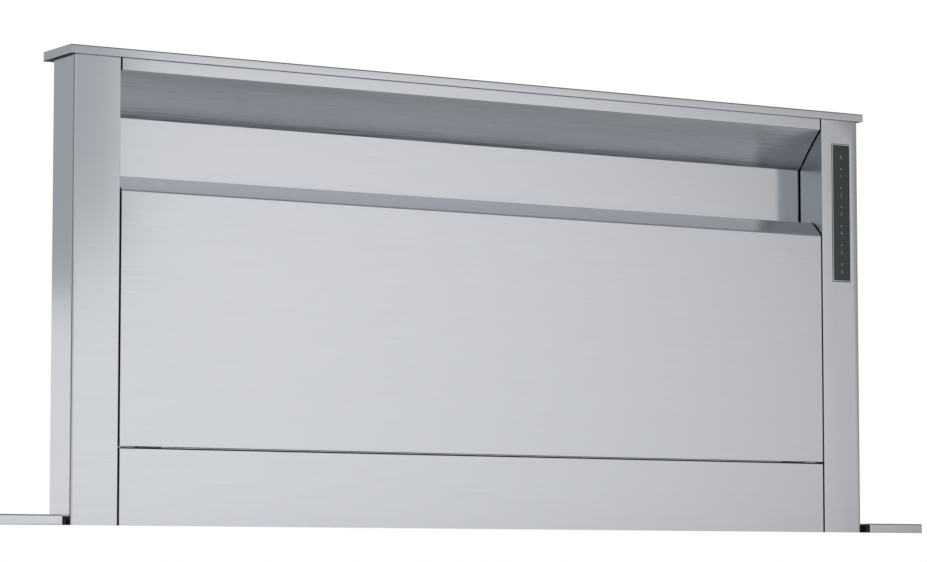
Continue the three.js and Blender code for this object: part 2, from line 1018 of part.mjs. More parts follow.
function fanMotor() {
  const seat = motorPlateFront - gap;
  const nose = motorPlateBack + fanMotorNoseLength - fanSheet;
  const bore = shaftRadius + gap;
  const boreEnd = seat - fanMotorNoseLength;
  return turned([
    at(0, boreEnd),
    at(bore, boreEnd),
    at(bore, nose),
    at(fanMotorNose, nose),
    at(fanMotorNose, seat),
    at(fanMotorFlange, seat),
    at(fanMotorFlange, seat - 2 * fanSheet),
    at(fanMotorRadius, seat - 2 * fanSheet),
    at(fanMotorRadius, fanMotorEnd),
    at(0, fanMotorEnd),
  ]);
}

// The fan wheel: a back disc with its hub and shaft, forward-curved blades and a front ring.
function impeller() {
  const shaftTip = motorPlateFront - fanMotorNoseLength + gap;
  const disc = turned([
    at(0, shaftTip),
    at(shaftRadius, shaftTip),
    at(shaftRadius, wheelBack - fanSheet),
    at(fanRadius, wheelBack - fanSheet),
    at(fanRadius, wheelBack),
    at(hubRadius, wheelBack),
    at(hubRadius, wheelBack + hubLength),
    at(0, wheelBack + hubLength),
  ]);
  const ring = turned([
    at(fanEye, wheelFront - 2 * fanSheet),
    at(fanRadius, wheelFront - 2 * fanSheet),
    at(fanRadius, wheelFront),
    at(fanEye, wheelFront),
  ]);
  const bladeY = [wheelBack - fanSheet / 2, wheelFront - fanSheet / 2];
  const blades = Array.from({ length: fanBlades }, (_, i) =>
    box(around(0, bladeChord), bladeY, around(0, fanSheet))
      .rotateY(bladeAngle)
      .translate((fanEye + fanRadius) / 2, 0, 0)
      .rotateY((i * 2 * Math.PI) / fanBlades),
  );
  return join(disc, ring, ...blades);
}

// ---- Outlet, made with its axis at Y = 0, Z = 0 ----

const ductInner = ductRadius - spigotSheet;

function outletCollar() {
  const halfY = ductRadius + outletRim;
  const halfZ = ductRadius + outletFlange;
  const plate = rectangle([-halfY, halfY], [-halfZ, halfZ]);
  withHole(plate, roundHole(0, 0, ductInner));
  const pipe = new THREE.Shape().absarc(0, 0, ductRadius, 0, 2 * Math.PI);
  withHole(pipe, roundHole(0, 0, ductInner));
  const end = outletPlate + spigotLength;
  const perHalf = spigotFacets / 2;
  return join(
    extrude(plate, "x", [0, outletPlate], perHalf),
    extrude(pipe, "x", [outletPlate / 2, end], perHalf),
  );
}

function damperPin() {
  const reach = ductInner * Math.cos(Math.PI / spigotFacets) - gap;
  return new THREE.CylinderGeometry(
    damperPinRadius,
    damperPinRadius,
    2 * reach,
    16,
  ).rotateX(Math.PI / 2);
}

// Half of the duct's circle, on one side of the pin.
function damperFlap(side) {
  const radius = ductInner - flapClear;
  const reach = Math.acos(flapEdge / radius);
  const half = arc(at(0, 0), radius, -reach, reach, 16);
  const placed = half.map((p) => at(side * p.x, p.y));
  return extrude(placed, "x", around(0, flapSheet));
}

// ---- Electrics ----

const boxX = -scrollEnd - boxGap;
const boxBottom = lidBottom - boxBelowLid - boxHeight;

const glandX = boxX - boxWidth / 2;
const glandY = scrollBack - boxDepth / 2;

// A sheet box with its open back against the housing, and a hole in its floor for the mains lead.
function controlBox() {
  const shell = (wall) =>
    box(
      [boxX - boxWidth + wall, boxX - wall],
      [scrollBack - boxDepth + wall, scrollBack + wall],
      [boxBottom + wall, boxBottom + boxHeight - wall],
    );
  const outside = box(
    [boxX - boxWidth, boxX],
    [scrollBack - boxDepth, scrollBack],
    [boxBottom, boxBottom + boxHeight],
  );
  const lead = new THREE.CylinderGeometry(glandBore, glandBore, 4 * boxSheet, 16)
    .rotateX(Math.PI / 2)
    .translate(glandX, glandY, boxBottom);
  return cut(outside, shell(boxSheet), lead);
}

// The gland for the mains lead, open right through, made with its axis along Y and then stood up.
function cableGland() {
  return turned(
    [
      at(glandBore, 0),
      at(glandRadius, 0),
      at(glandRadius, -glandFlange),
      at(glandNeck, -glandFlange),
      at(glandNeck, -glandLength),
      at(glandBore, -glandLength),
    ],
    20,
  ).rotateX(Math.PI / 2);
}

// ---- Assembly ----

function makeChimney() {
  const group = new THREE.Group();
  add(group, "top_cap", cap(), "stainless");
  add(group, "left_post", post(-1), "stainless");
  add(group, "right_post", rightPost(), "stainless");
  add(group, "header_rail", headerRail(), "stainless");
  add(group, "top_crossrail", topCrossrail(), "galvanised");
  add(group, "deflector", deflector(), "stainless");
  add(group, "back_panel", backPanel(), "stainless");
  add(group, "lower_front_panel", lowerFrontPanel(), "stainless");
  add(group, "front_panel", frontPanel(), "stainless");
  add(group, "filter_rail", filterRail(), "stainless");
  add(group, "bottom_brace", bottomBrace(), "galvanised");
  add(group, "touch_bezel", touchBezel(), "machinedSteel");
  const glassY = [0, touchGlass];
  const glass = touchFrame(-touchRim - gap, glassY);
  add(group, "touch_glass", glass, "blackGlass");
  const boardY = [touchGlass + gap, touchGlass + gap + touchBoard];
  const board = touchFrame(-touchRim - gap, boardY);
  add(group, "touch_board", board, "greenBoard");
  for (const [name, side] of sides) {
    add(group, "panel_catch_" + name, panelCatch(side), "darkPlastic");
    add(group, "guide_shoe_" + name, guideShoe(side), "paleNylon");
    const teeth = add(group, "rack_" + name, rack(), "machinedSteel");
    teeth.position.x = side * rackX;
    group.add(filterGroup(side));
  }
  return group;
}

function makeHousing() {
  const group = new THREE.Group();
  add(group, "slot_collar", slotCollar(), "galvanised");
  add(group, "housing_front", housingFrontSheet(), "galvanised");
  add(group, "housing_back", housingBackSheet(), "galvanised");
  add(group, "housing_bottom", housingBottom(), "galvanised");
  for (const [name, side] of sides) {
    add(group, "housing_" + name, housingSideSheet(side), "galvanised");
    add(group, "trim_plate_" + name, trimPlate(side), "stainless");
    add(group, "mount_bracket_" + name, mountBracket(side), "galvanised");
    add(group, "slot_seal_" + name, slotSeal(side), "rubber");
    add(group, "guide_rail_" + name, guideRail(side), "galvanised");
  }
  add(group, "control_box", controlBox(), "galvanised");
  const gland = add(group, "cable_gland", cableGland(), "darkPlastic");
  gland.position.set(glandX, glandY, boxBottom - gap);
  return group;
}

function makeLift() {
  const group = new THREE.Group();
  const drive = new THREE.Group();
  drive.position.set(0, shaftY, shaftZ);
  add(drive, "lift_shaft", liftShaft(), "machinedSteel");
  add(drive, "lift_gearbox", liftGearbox(), "aluminium");
  for (const [name, side] of sides) {
    const gear = add(drive, "pinion_" + name, pinion(), "machinedSteel");
    gear.position.x = side * rackX;
    const block = add(drive, "bearing_" + name, bearing(), "aluminium");
    block.position.x = side * (rackX - bearingInset);
  }
  group.add(drive);
  add(group, "lift_motor", liftMotor(), "blackPaint");
  const tabTop = -tail + sheet;
  const lowered = -tail - travel;
  add(group, "upper_switch", limitSwitch(tabTop, -1), "darkPlastic");
  add(group, "lower_switch", limitSwitch(lowered, 1), "darkPlastic");
  return group;
}

function makeBlower() {
  const group = new THREE.Group();
  group.position.z = fanZ;
  add(group, "blower_scroll", blowerScroll(), "galvanised");
  add(group, "motor_plate", motorPlate(), "galvanised");
  add(group, "inlet_ring", inletRing(), "galvanised");
  add(group, "fan_motor", fanMotor(), "blackPaint");
  add(group, "impeller", impeller(), "galvanised");

  const outlet = new THREE.Group();
  outlet.position.set(0, outletY, outletZ - fanZ);
  const collar = add(outlet, "outlet_collar", outletCollar(), "galvanised");
  collar.position.x = outletX;
  const damper = new THREE.Group();
  damper.position.x = damperX;
  add(damper, "damper_pin", damperPin(), "machinedSteel");
  add(damper, "damper_flap_front", damperFlap(-1), "aluminium");
  add(damper, "damper_flap_rear", damperFlap(1), "aluminium");
  outlet.add(damper);
  group.add(outlet);
  return group;
}

const vent = new THREE.Group();
vent.add(makeChimney(), makeHousing(), makeLift(), makeBlower());
vent.position.set(0, -(fanMotorEnd + housingBack) / 2, -floor);

export default vent;
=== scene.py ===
# %% [markdown]
# # A worktop downdraft vent, raised behind the hob
#
# A flat chimney of brushed stainless steel rises out of a slot in the worktop. Its galvanised
# housing, the lift and a blower hang below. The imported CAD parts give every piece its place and
# size. This script adds rounded edges, real finishes and the small parts that only the eye needs.
#
# All is in metres, +Z is up, and the worktop's top is at 0.7 m.

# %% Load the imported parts
import json
import math

import bmesh
import bpy
from mathutils import Euler, Matrix, Vector


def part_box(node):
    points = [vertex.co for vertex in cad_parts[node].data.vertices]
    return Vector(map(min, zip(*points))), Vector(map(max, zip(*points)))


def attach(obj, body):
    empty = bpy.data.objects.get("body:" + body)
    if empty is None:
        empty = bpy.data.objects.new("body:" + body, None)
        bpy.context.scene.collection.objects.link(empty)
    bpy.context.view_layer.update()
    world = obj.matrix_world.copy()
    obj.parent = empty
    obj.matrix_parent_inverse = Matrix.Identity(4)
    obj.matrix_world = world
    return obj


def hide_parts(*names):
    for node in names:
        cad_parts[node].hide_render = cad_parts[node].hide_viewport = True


MM = 0.001

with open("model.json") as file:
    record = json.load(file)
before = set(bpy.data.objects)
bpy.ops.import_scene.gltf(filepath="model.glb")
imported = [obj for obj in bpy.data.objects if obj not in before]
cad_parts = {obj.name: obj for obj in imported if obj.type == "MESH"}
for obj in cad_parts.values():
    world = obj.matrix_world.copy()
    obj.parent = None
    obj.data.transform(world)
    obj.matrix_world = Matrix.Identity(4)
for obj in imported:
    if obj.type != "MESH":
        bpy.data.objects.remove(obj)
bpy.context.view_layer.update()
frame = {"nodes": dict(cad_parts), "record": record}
behaviour = frame["record"]["behaviour"]
body_of = {node: body for body, nodes in behaviour["bodies"].items() for node in nodes}
slot_of = {part["node"]: part["material_slot"] for part in frame["record"]["subparts"]}

# %% [markdown]
# ## The camera
#
# The photograph was taken from the left, just under the worktop's height, with a long lens. Its
# place, turn and focal length come from a least-squares fit of the chimney's edges. A shifted lens
# would keep the uprights parallel but move the other views off their middle, so this one is tilted
# up.


# %% Camera
def linked(name, data):
    """A new object in the scene."""
    made = bpy.data.objects.new(name, data)
    bpy.context.scene.collection.objects.link(made)
    return made


camera_data = bpy.data.cameras.new("camera")
camera_data.lens = 133.5
camera_data.clip_start, camera_data.clip_end = 0.001, 100
camera = linked("camera", camera_data)
camera.location = (-1.5356, -2.3844, 0.6560)
camera_turn = math.radians(31.595)
camera_tilt = math.radians(5.001)
camera.rotation_euler = Euler((math.pi / 2 + camera_tilt, 0, -camera_turn))
bpy.context.scene.camera = camera
bpy.context.scene.view_settings.view_transform = "Standard"
print("camera with a", camera_data.lens, "mm lens")

# %% [markdown]
# ## Colours and nodes
#
# Colours are written as sRGB hex values and turned to the linear values that light adds up in. One
# helper adds a shader node, sets it up and joins its inputs. Short ones use it for what every
# finish needs, such as bringing a noise to a wanted range.


# %% Colour and node helpers
def linear(hex_colour):
    """The linear RGBA of a colour such as "#C3C6C9"."""
    channels = [int(hex_colour[i : i + 2], 16) / 255 for i in (1, 3, 5)]
    return [c / 12.92 if c <= 0.04045 else ((c + 0.055) / 1.055) ** 2.4 for c in channels] + [1]


def add_node(tree, kind, inputs=(), **settings):
    """Adds a node; inputs maps a socket's name or number to a value or to another node's output."""
    made = tree.nodes.new("ShaderNode" + kind)
    for name, value in settings.items():
        setattr(made, name, value)
    for socket, value in dict(inputs).items():
        if isinstance(value, bpy.types.NodeSocket):
            tree.links.new(value, made.inputs[socket])
        else:
            made.inputs[socket].default_value = value
    return made


def maths(tree, operation, *values):
    """The result of a Math node."""
    return add_node(tree, "Math", dict(enumerate(values)), operation=operation).outputs[0]


def around(middle, margin):
    return middle - margin, middle + margin


def remap(tree, value, before, after, **settings):
    """Turns a value from one range, a lowest and a highest value, to another."""
    ends = {"From Min": before[0], "From Max": before[1], "To Min": after[0], "To Max": after[1]}
    return add_node(tree, "MapRange", {"Value": value, **ends}, **settings).outputs[0]


def shaded(tree, colour, shade):
    """A hex colour, made darker or paler by a factor."""
    parts = {0: linear(colour)[:3], "Scale": shade}
    return add_node(tree, "VectorMath", parts, operation="SCALE").outputs[0]


def dented(tree, height, strength, depth_mm):
    """The normal of a surface with a fine relief."""
    relief = {"Height": height, "Strength": strength, "Distance": depth_mm * MM}
    return add_node(tree, "Bump", relief).outputs[0]


def new_material(name):
    """An empty material and its node tree."""
    made = bpy.data.materials.new(name)
    made.use_nodes = True
    made.node_tree.nodes.clear()
    return made, made.node_tree


def principled(tree, **inputs):
    """Ends a material in one Principled shader; _ stands for a space in a socket's name."""
    sockets = {name.replace("_", " "): value for name, value in inputs.items()}
    shader = add_node(tree, "BsdfPrincipled", sockets)
    add_node(tree, "OutputMaterial", {"Surface": shader.outputs["BSDF"]})


NOISE_RANGE = around(0.5, 0.2)  # most of a noise's values lie here
TWO_NOISES = around(1, 0.4)  # and those of two added noises here

# %% [markdown]
# ## Brushed stainless steel
#
# The chimney is 304 stainless sheet, ground with a belt along its length. The fine long scratches
# smear a reflection across them into a soft upright streak. A picture of scratches could give this,
# but it repeats and goes soft close up. Here the anisotropic setting smears, along a tangent from
# each piece's UV map, and two noises, drawn out along the scratches, give the grain and its clouds.
# The scratches are 1.8 mm wide, as their real width would vanish in the render.

# %% Stainless steel
BRUSH_UV = "brushing"
STEEL_COLOUR, STEEL_ROUGHNESS = "#CDCFD4", 0.2
SCRATCH_LENGTH, SCRATCH_WIDTH = 0.070, 0.0018
CLOUD_LENGTH, CLOUD_WIDTH = 0.240, 0.012
QUARTER_TURN = 0.25  # the shader counts a full turn as 1


def drawn_out(tree, length, width, detail, roughness):
    """A noise with grains that are long along the brushing and narrow across it."""
    uv = add_node(tree, "UVMap", uv_map=BRUSH_UV).outputs["UV"]
    scale = (1 / length, 1 / width, 1)
    place = add_node(tree, "VectorMath", {0: uv, 1: scale}, operation="MULTIPLY").outputs[0]
    look = {"Vector": place, "Scale": 1, "Detail": detail, "Roughness": roughness}
    return add_node(tree, "TexNoise", look).outputs["Fac"]


def brushed_steel(name, contrast, relief_mm):
    made, tree = new_material(name)
    grain = drawn_out(tree, SCRATCH_LENGTH, SCRATCH_WIDTH, detail=3, roughness=0.6)
    cloud = drawn_out(tree, CLOUD_LENGTH, CLOUD_WIDTH, detail=2, roughness=0.5)
    both = maths(tree, "ADD", grain, cloud)
    shade = remap(tree, both, TWO_NOISES, around(1, contrast))
    tangent = add_node(tree, "Tangent", direction_type="UV_MAP", uv_map=BRUSH_UV)
    principled(
        tree,
        Base_Color=shaded(tree, STEEL_COLOUR, shade),
        Metallic=1,
        Roughness=remap(tree, grain, NOISE_RANGE, around(STEEL_ROUGHNESS, 0.02)),
        Anisotropic=0.65,
        Anisotropic_Rotation=QUARTER_TURN,
        Tangent=tangent.outputs[0],
        Normal=dented(tree, grain, 0.6, relief_mm),
    )
    return made


# An even sheen, with streaks that only show close up.
stainless = brushed_steel("stainless_304_belt_ground", contrast=0.006, relief_mm=0.05)
# From a coarser belt: its streaks show from afar, as thin dark and pale lines.
coarse_steel = brushed_steel("stainless_304_coarse_ground", contrast=0.075, relief_mm=0.16)
print("steel:", stainless.name, "and", coarse_steel.name)

# %% [markdown]
# ## Galvanised sheet
#
# The housing, the scroll and the brackets are hot-dip galvanised. The zinc freezes in flat
# crystals, each of which mirrors a little differently. Plain noise would make soft clouds, but
# crystals have edges. So Voronoi cells give each its own shade and roughness, and a noise bends
# their borders.


# %% Galvanised sheet
def galvanised_sheet(name, colour, crystal=0.011, wander=0.006):
    """Zinc; crystal is the distance between two crystals, wander how far their borders stray."""
    made, tree = new_material(name)
    place = add_node(tree, "TexCoord").outputs["Object"]
    warp = add_node(tree, "TexNoise", {"Vector": place, "Scale": 90, "Detail": 2})
    bend = {0: warp.outputs["Color"], 1: (wander, wander, wander), 2: place}
    bent = add_node(tree, "VectorMath", bend, operation="MULTIPLY_ADD").outputs[0]
    crystals = add_node(tree, "TexVoronoi", {"Vector": bent, "Scale": 1 / crystal})
    tone = add_node(tree, "SeparateColor", {"Color": crystals.outputs["Color"]})
    grit = add_node(tree, "TexNoise", {"Vector": place, "Scale": 1800, "Detail": 2})
    principled(
        tree,
        Base_Color=shaded(tree, colour, remap(tree, tone.outputs[0], (0, 1), (0.86, 1.06))),
        Metallic=1,
        Roughness=remap(tree, tone.outputs[1], (0, 1), (0.36, 0.52)),
        Normal=dented(tree, grit.outputs["Fac"], 0.15, 0.05),
    )
    return made


# A dull blue-grey with faint flat patches, unlike the bright steel above it.
galvanised = galvanised_sheet("zinc_galvanised_sheet", "#B9BDC1")
print("zinc:", galvanised.name)

# %% [markdown]
# ## Plain metals, plastics and rubber
#
# These share one recipe: a fine noise that moves the shade and the roughness a little and dents the
# surface. The size of its grain says how each was made: turned steel is fine, a casting is coarse,
# moulded plastic takes the spark-eroded texture of its mould.


# %% Grained finishes
def grained(name, colour, metallic, roughness, grain_mm, relief_mm, contrast=0.05):
    made, tree = new_material(name)
    place = add_node(tree, "TexCoord").outputs["Object"]
    fine = {"Vector": place, "Scale": 1 / (grain_mm * MM), "Detail": 3}
    grain = add_node(tree, "TexNoise", fine).outputs["Fac"]
    patch = add_node(tree, "TexNoise", {"Vector": place, "Scale": 25, "Detail": 1}).outputs["Fac"]
    both = maths(tree, "ADD", grain, patch)
    principled(
        tree,
        Base_Color=shaded(tree, colour, remap(tree, both, TWO_NOISES, around(1, contrast))),
        Metallic=metallic,
        Roughness=remap(tree, patch, NOISE_RANGE, around(roughness, 0.05)),
        Normal=dented(tree, grain, 0.5, relief_mm),
    )
    return made


# Racks, pins and screws: a narrow bright line along each edge.
machined = grained("turned_steel", "#9A9DA1", 1, 0.34, 0.5, 0.01)
# The touch strip's rim: a pale, silky frame.
satin_rim = grained("satin_anodised_aluminium", "#C2C5C8", 1, 0.36, 0.4, 0.01)
# Filters and flaps: a bright, slightly blurred mirror.
aluminium = grained("mill_finish_aluminium", "#C9CBCE", 1, 0.38, 0.8, 0.01)
# Gearbox and bearings: a sandy grey without clear reflections.
casting = grained("die_cast_aluminium", "#B3B6B9", 1, 0.5, 0.9, 0.06)
# Catches, switches and gland: near black, with a broad soft highlight.
dark_nylon = grained("moulded_black_nylon", "#222426", 0, 0.5, 0.5, 0.03)
# Guide shoes: a warm off-white beside the cool metals.
pale_nylon = grained("moulded_natural_nylon", "#E3E0D6", 0, 0.45, 0.6, 0.02)
# The board behind the glass: the green of solder mask.
board_mask = grained("green_solder_mask", "#2F6B45", 0, 0.4, 0.6, 0.01)
# Both motors: black with a clear highlight over a slight orange peel.
black_enamel = grained("black_stoved_enamel", "#26292C", 0, 0.36, 1.2, 0.03)
# Seals, and the boxes of painted shade in gaps: black without a highlight.
seal_and_shade_rubber = grained("extruded_epdm_rubber", "#1B1C1E", 0, 0.75, 0.5, 0.03)
print(len(bpy.data.materials), "materials so far")

# %% [markdown]
# ## Edges
#
# Bent sheet is rounded at each bend, and its cut edges are broken. The CAD parts are sharp, and a
# highlight needs a round edge to run along. A shader can fake one, but not in the mesh itself.
# So each part's triangles are merged into flat faces and a bevel rounds the edges. The same pass
# lays the UV map that the brushing follows: along the worktop on the front and on top, front to
# back on the sides.

# %% Rounded copies of the CAD parts
SHADING_BREAKS = math.radians(50)
BEVEL_STARTS = math.radians(40)
FLAT = math.radians(0.5)
SAME_PLACE = 0.002 * MM


def brushing_uv(edit):
    """Maps each face in metres, with U along the brushing."""
    layer = edit.loops.layers.uv.new(BRUSH_UV)
    for face in edit.faces:
        n = face.normal
        for loop in face.loops:
            x, y, z = loop.vert.co
            if abs(n.x) > max(abs(n.y), abs(n.z)):
                loop[layer].uv = (y, z)
            elif abs(n.y) > abs(n.z):
                loop[layer].uv = (x, z)
            else:
                loop[layer].uv = (x, y)


def plain_object(name, edit, material):
    """An object of a finished bmesh, which is freed."""
    mesh = bpy.data.meshes.new(name)
    edit.to_mesh(mesh)
    edit.free()
    mesh.materials.append(material)
    return linked(name, mesh)


def new_piece(name, edit, node, material, slot=None, smooth=True):
    """An object that rides with a CAD node's body; the slot, its node's or another, is not used."""
    body, slot = body_of[node], slot or slot_of[node]
    for face in edit.faces:
        face.smooth = smooth
    for edge in edit.edges:
        edge.smooth = edge.is_manifold and edge.calc_face_angle() < SHADING_BREAKS
    piece = plain_object(name, edit, material)
    if smooth:
        piece.modifiers.new("flat faces stay flat", "WEIGHTED_NORMAL").keep_sharp = True
    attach(piece, body)
    return piece


def merged_copy(node):
    """A bmesh of a CAD node with its flat faces joined."""
    edit = bmesh.new()
    edit.from_mesh(frame["nodes"][node].data)
    bmesh.ops.remove_doubles(edit, verts=edit.verts, dist=SAME_PLACE)
    bmesh.ops.dissolve_limit(edit, angle_limit=FLAT, verts=edit.verts, edges=edit.edges)
    return edit


def bevel_edges(edit, edges, radius_mm, segments=2):
    width = {"offset": radius_mm * MM, "offset_type": "OFFSET", "clamp_overlap": True}
    rounding = {"segments": segments, "profile": 0.5, "material": -1}
    bmesh.ops.bevel(edit, geom=edges, affect="EDGES", **width, **rounding)


def rounded(node, material, radius_mm, sharp_above=math.inf, shape=None):
    """A finished copy of a CAD node; edges wholly above a height in metres stay sharp."""
    edit = merged_copy(node)
    if shape:
        shape(edit)
    corners = [
        edge
        for edge in edit.edges
        if edge.is_manifold
        and edge.calc_face_angle() > BEVEL_STARTS
        and min(vertex.co.z for vertex in edge.verts) < sharp_above
    ]
    bevel_edges(edit, corners, radius_mm)
    brushing_uv(edit)
    piece = new_piece(node + "_finished", edit, node, material)
    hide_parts(node)


def both_sides(name):
    """A name with * stands for a left and a right node."""
    return [name.replace("*", side) for side in ("left", "right")] if "*" in name else [name]


bevel_mm = {
    stainless: {"back_panel": 0.5, "lower_front_panel": 0.55, "filter_rail": 0.3},
    coarse_steel: {"deflector": 0.5},
    galvanised: {
        "top_crossrail": 0.4, "bottom_brace": 0.5, "slot_collar": 0.4, "housing_front": 0.3,
        "housing_bottom": 0.3, "housing_*": 0.3, "mount_bracket_*": 0.4, "guide_rail_*": 0.3,
        "blower_scroll": 0.3, "motor_plate": 0.3, "control_box": 0.4, "outlet_collar": 0.3,
        "inlet_ring": 0.3,
    },
    satin_rim: {"touch_bezel": 0.2},
    aluminium: {"filter_frame_*": 0.8},
    casting: {"lift_gearbox": 1.5, "bearing_*": 1.0},
    dark_nylon: {"panel_catch_*": 0.8, "upper_switch": 0.8, "lower_switch": 0.8},
    pale_nylon: {"guide_shoe_*": 0.6},
    seal_and_shade_rubber: {"slot_seal_*": 0.5},
    black_enamel: {"lift_motor": 1.5},
}
for material, names in bevel_mm.items():
    for name, radius in names.items():
        for node in both_sides(name):
            rounded(node, material, radius)
print("rounded with", len(bevel_mm), "finishes")

# %% [markdown]
# ## What stands under the cap
#
# The cap is a folded lid on the posts and the header rail. A rounded top edge under it would show
# as a dark slit, and one joined mesh would weld separate pieces. So these keep a sharp top edge,
# and the header rail is stretched to reach the cap.

# %% Posts and header rail
POST_BEND = 0.5
under_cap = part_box("top_cap")[0].z
header_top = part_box("header_rail")[1].z
top_edges = under_cap - 2 * MM


def up_to_cap(edit):
    """Stretches the header rail by half a millimetre, so that no slit shows under the cap."""
    top = [vertex for vertex in edit.verts if vertex.co.z > header_top - 0.1 * MM]
    bmesh.ops.translate(edit, verts=top, vec=(0, 0, under_cap - header_top - 0.05 * MM))


for node in ("left_post", "right_post"):
    rounded(node, stainless, POST_BEND, sharp_above=top_edges)
rounded("header_rail", stainless, POST_BEND, sharp_above=top_edges, shape=up_to_cap)
print("the cap's underside is at", round(under_cap, 4), "m")

# %% [markdown]
# ## Wide bends
#
# The top edges of the cap and the trim plates, and the panel's slanting fold, are bent wider than
# the cut edges. One bevel for all would be narrowed to fit a part's smallest edges, so these long
# edges get a pass of their own first.


# %% Wide bends
def wide_bend(node, radius_mm):
    """A shape step that rounds a node's long upper front edges more."""
    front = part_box(node)[0].y + 0.2 * MM

    def shape(edit):
        chosen = []
        for edge in edit.edges:
            if not edge.is_manifold or edge.calc_face_angle() < BEVEL_STARTS:
                continue
            middle = (edge.verts[0].co + edge.verts[1].co) / 2
            facing = sum((face.normal for face in edge.link_faces), Vector())
            if middle.y < front and facing.z > 0.6 and facing.y < -0.6:
                chosen.append(edge)
        bevel_edges(edit, chosen, radius_mm, segments=3)
        print(node, "has a wide bend on", len(chosen), "edges")

    return shape


for node in ("top_cap", "trim_plate_left", "trim_plate_right"):
    rounded(node, stainless, 0.4, shape=wide_bend(node, 1.4))
rounded("front_panel", stainless, 0.5, shape=wide_bend("front_panel", 1.0))

# %% [markdown]
# ## The housing's back
#
# A press sinks ribs into a wide thin sheet, so that it doesn't drum. Boxes laid on it would stand
# outside the part's outline. So the sheet is cut along each rib, and both its faces are inset and
# pushed inwards together. The ribs end below the lift.

# %% Pressed ribs
RIB_MIDDLES = (-0.285, -0.095, 0.095, 0.285)
RIB_HALF_WIDTH, RIB_DEPTH, RIB_SLOPE = 18 * MM, 4.5 * MM, 4 * MM
rib_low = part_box("housing_back")[0].z + 60 * MM
rib_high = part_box("lift_motor")[0].z - 25 * MM


def pressed_ribs(edit):
    along_x, along_z = (1, 0, 0), (0, 0, 1)
    cuts = [((0, 0, end), along_z) for end in (rib_low, rib_high)]
    for middle in RIB_MIDDLES:
        cuts += [((middle + side * RIB_HALF_WIDTH, 0, 0), along_x) for side in (-1, 1)]
    for place, across in cuts:
        everything = edit.verts[:] + edit.edges[:] + edit.faces[:]
        bmesh.ops.bisect_plane(edit, geom=everything, plane_co=place, plane_no=across)
    edit.normal_update()
    fields = []
    for face in edit.faces:
        middle = face.calc_center_median()
        in_rib = any(abs(middle.x - rib) < RIB_HALF_WIDTH for rib in RIB_MIDDLES)
        if in_rib and rib_low < middle.z < rib_high and abs(face.normal.y) > 0.9:
            fields.append((face, -math.copysign(RIB_DEPTH, face.normal.y)))
    for face, depth in fields:
        bmesh.ops.inset_region(
            edit, faces=[face], thickness=RIB_SLOPE, depth=depth, use_even_offset=True
        )
    print("pressed", len(fields), "faces for", len(RIB_MIDDLES), "ribs")


rounded("housing_back", galvanised, 0.3, shape=pressed_ribs)

# %% [markdown]
# ## Parts that only take a finish
#
# Teeth, pins, flaps and fan blades are too fine for a bevel, which would eat into their shape. So
# their CAD meshes stay, with a material of their own.

# %% Finish only
finish_only = {
    board_mask: ("touch_board",),
    machined: ("rack_*", "pinion_*", "lift_shaft", "damper_pin", "filter_handle_*"),
    aluminium: ("damper_flap_front", "damper_flap_rear"),
    galvanised: ("impeller",),
}


def dress(node, material):
    """Gives a CAD part a finish and leaves its shape."""
    materials = frame["nodes"][node].data.materials
    materials.clear()
    materials.append(material)


for material, names in finish_only.items():
    for name in names:
        for node in both_sides(name):
            dress(node, material)
            print(node, "in", material.name)

# %% [markdown]
# ## Small parts
#
# The CAD parts leave out what only the eye needs: screws, rivets, seals, fins and print. Each is a
# bmesh box, cone or turned profile, which needs fewer faces than a sculpted shape. The helpers take
# millimetres in the frame's own axes.

# %% Helpers for small parts
TO_FRONT, DOWN = (0, -1, 0), (0, 0, -1)


def in_mm(node):
    """A CAD node's lowest and highest corner in millimetres."""
    return [Vector([c / MM for c in corner]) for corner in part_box(node)]


def spread(first, last, count):
    """Evenly spaced places, both ends included."""
    return [first + (last - first) * i / (count - 1) for i in range(count)]


def box_in(edit, low_mm, high_mm, radius_mm=0.0):
    """Adds a box between two corners, with rounded edges."""
    low, high = Vector(low_mm) * MM, Vector(high_mm) * MM
    corners = bmesh.ops.create_cube(edit, size=1)["verts"]
    bmesh.ops.scale(edit, verts=corners, vec=high - low)
    bmesh.ops.translate(edit, verts=corners, vec=(low + high) / 2)
    if radius_mm:
        edges = {edge for corner in corners for edge in corner.link_edges}
        bevel_edges(edit, list(edges), radius_mm)


def mirrored_boxes(edit, nearest, farthest, low_yz, high_yz, radius_mm=0.0):
    """Adds a box on each side, between two distances from the middle."""
    for side in (-1, 1):
        low_x, high_x = sorted((side * nearest, side * farthest))
        box_in(edit, (low_x, *low_yz), (high_x, *high_yz), radius_mm)


def axis_at(place_mm, towards):
    """A matrix whose Z axis starts at a place and points along a direction."""
    turn = Vector(towards).to_track_quat("Z", "Y").to_matrix().to_4x4()
    return Matrix.Translation(Vector(place_mm) * MM) @ turn


def turned(edit, profile_mm, axis, steps=24):
    """Spins a profile of (radius, height) points once round an axis."""
    places = [axis @ Vector((radius * MM, 0, height * MM)) for radius, height in profile_mm]
    points = [edit.verts.new(place) for place in places]
    lines = [edit.edges.new(pair) for pair in zip(points, points[1:])]
    spindle = {"cent": axis.translation, "axis": axis.to_3x3() @ Vector((0, 0, 1))}
    once_round = {"angle": 2 * math.pi, "steps": steps, "use_merge": True}
    bmesh.ops.spin(edit, geom=points + lines, **spindle, **once_round)


def hexagon(edit, axis, low_mm, high_mm, foot_mm, top_mm):
    """Adds a six-sided block between two heights, with a radius at each."""
    place = axis @ Matrix.Translation((0, 0, (low_mm + high_mm) / 2 * MM))
    size = {"radius1": foot_mm * MM, "radius2": top_mm * MM, "depth": (high_mm - low_mm) * MM}
    bmesh.ops.create_cone(edit, cap_ends=True, segments=6, matrix=place, **size)


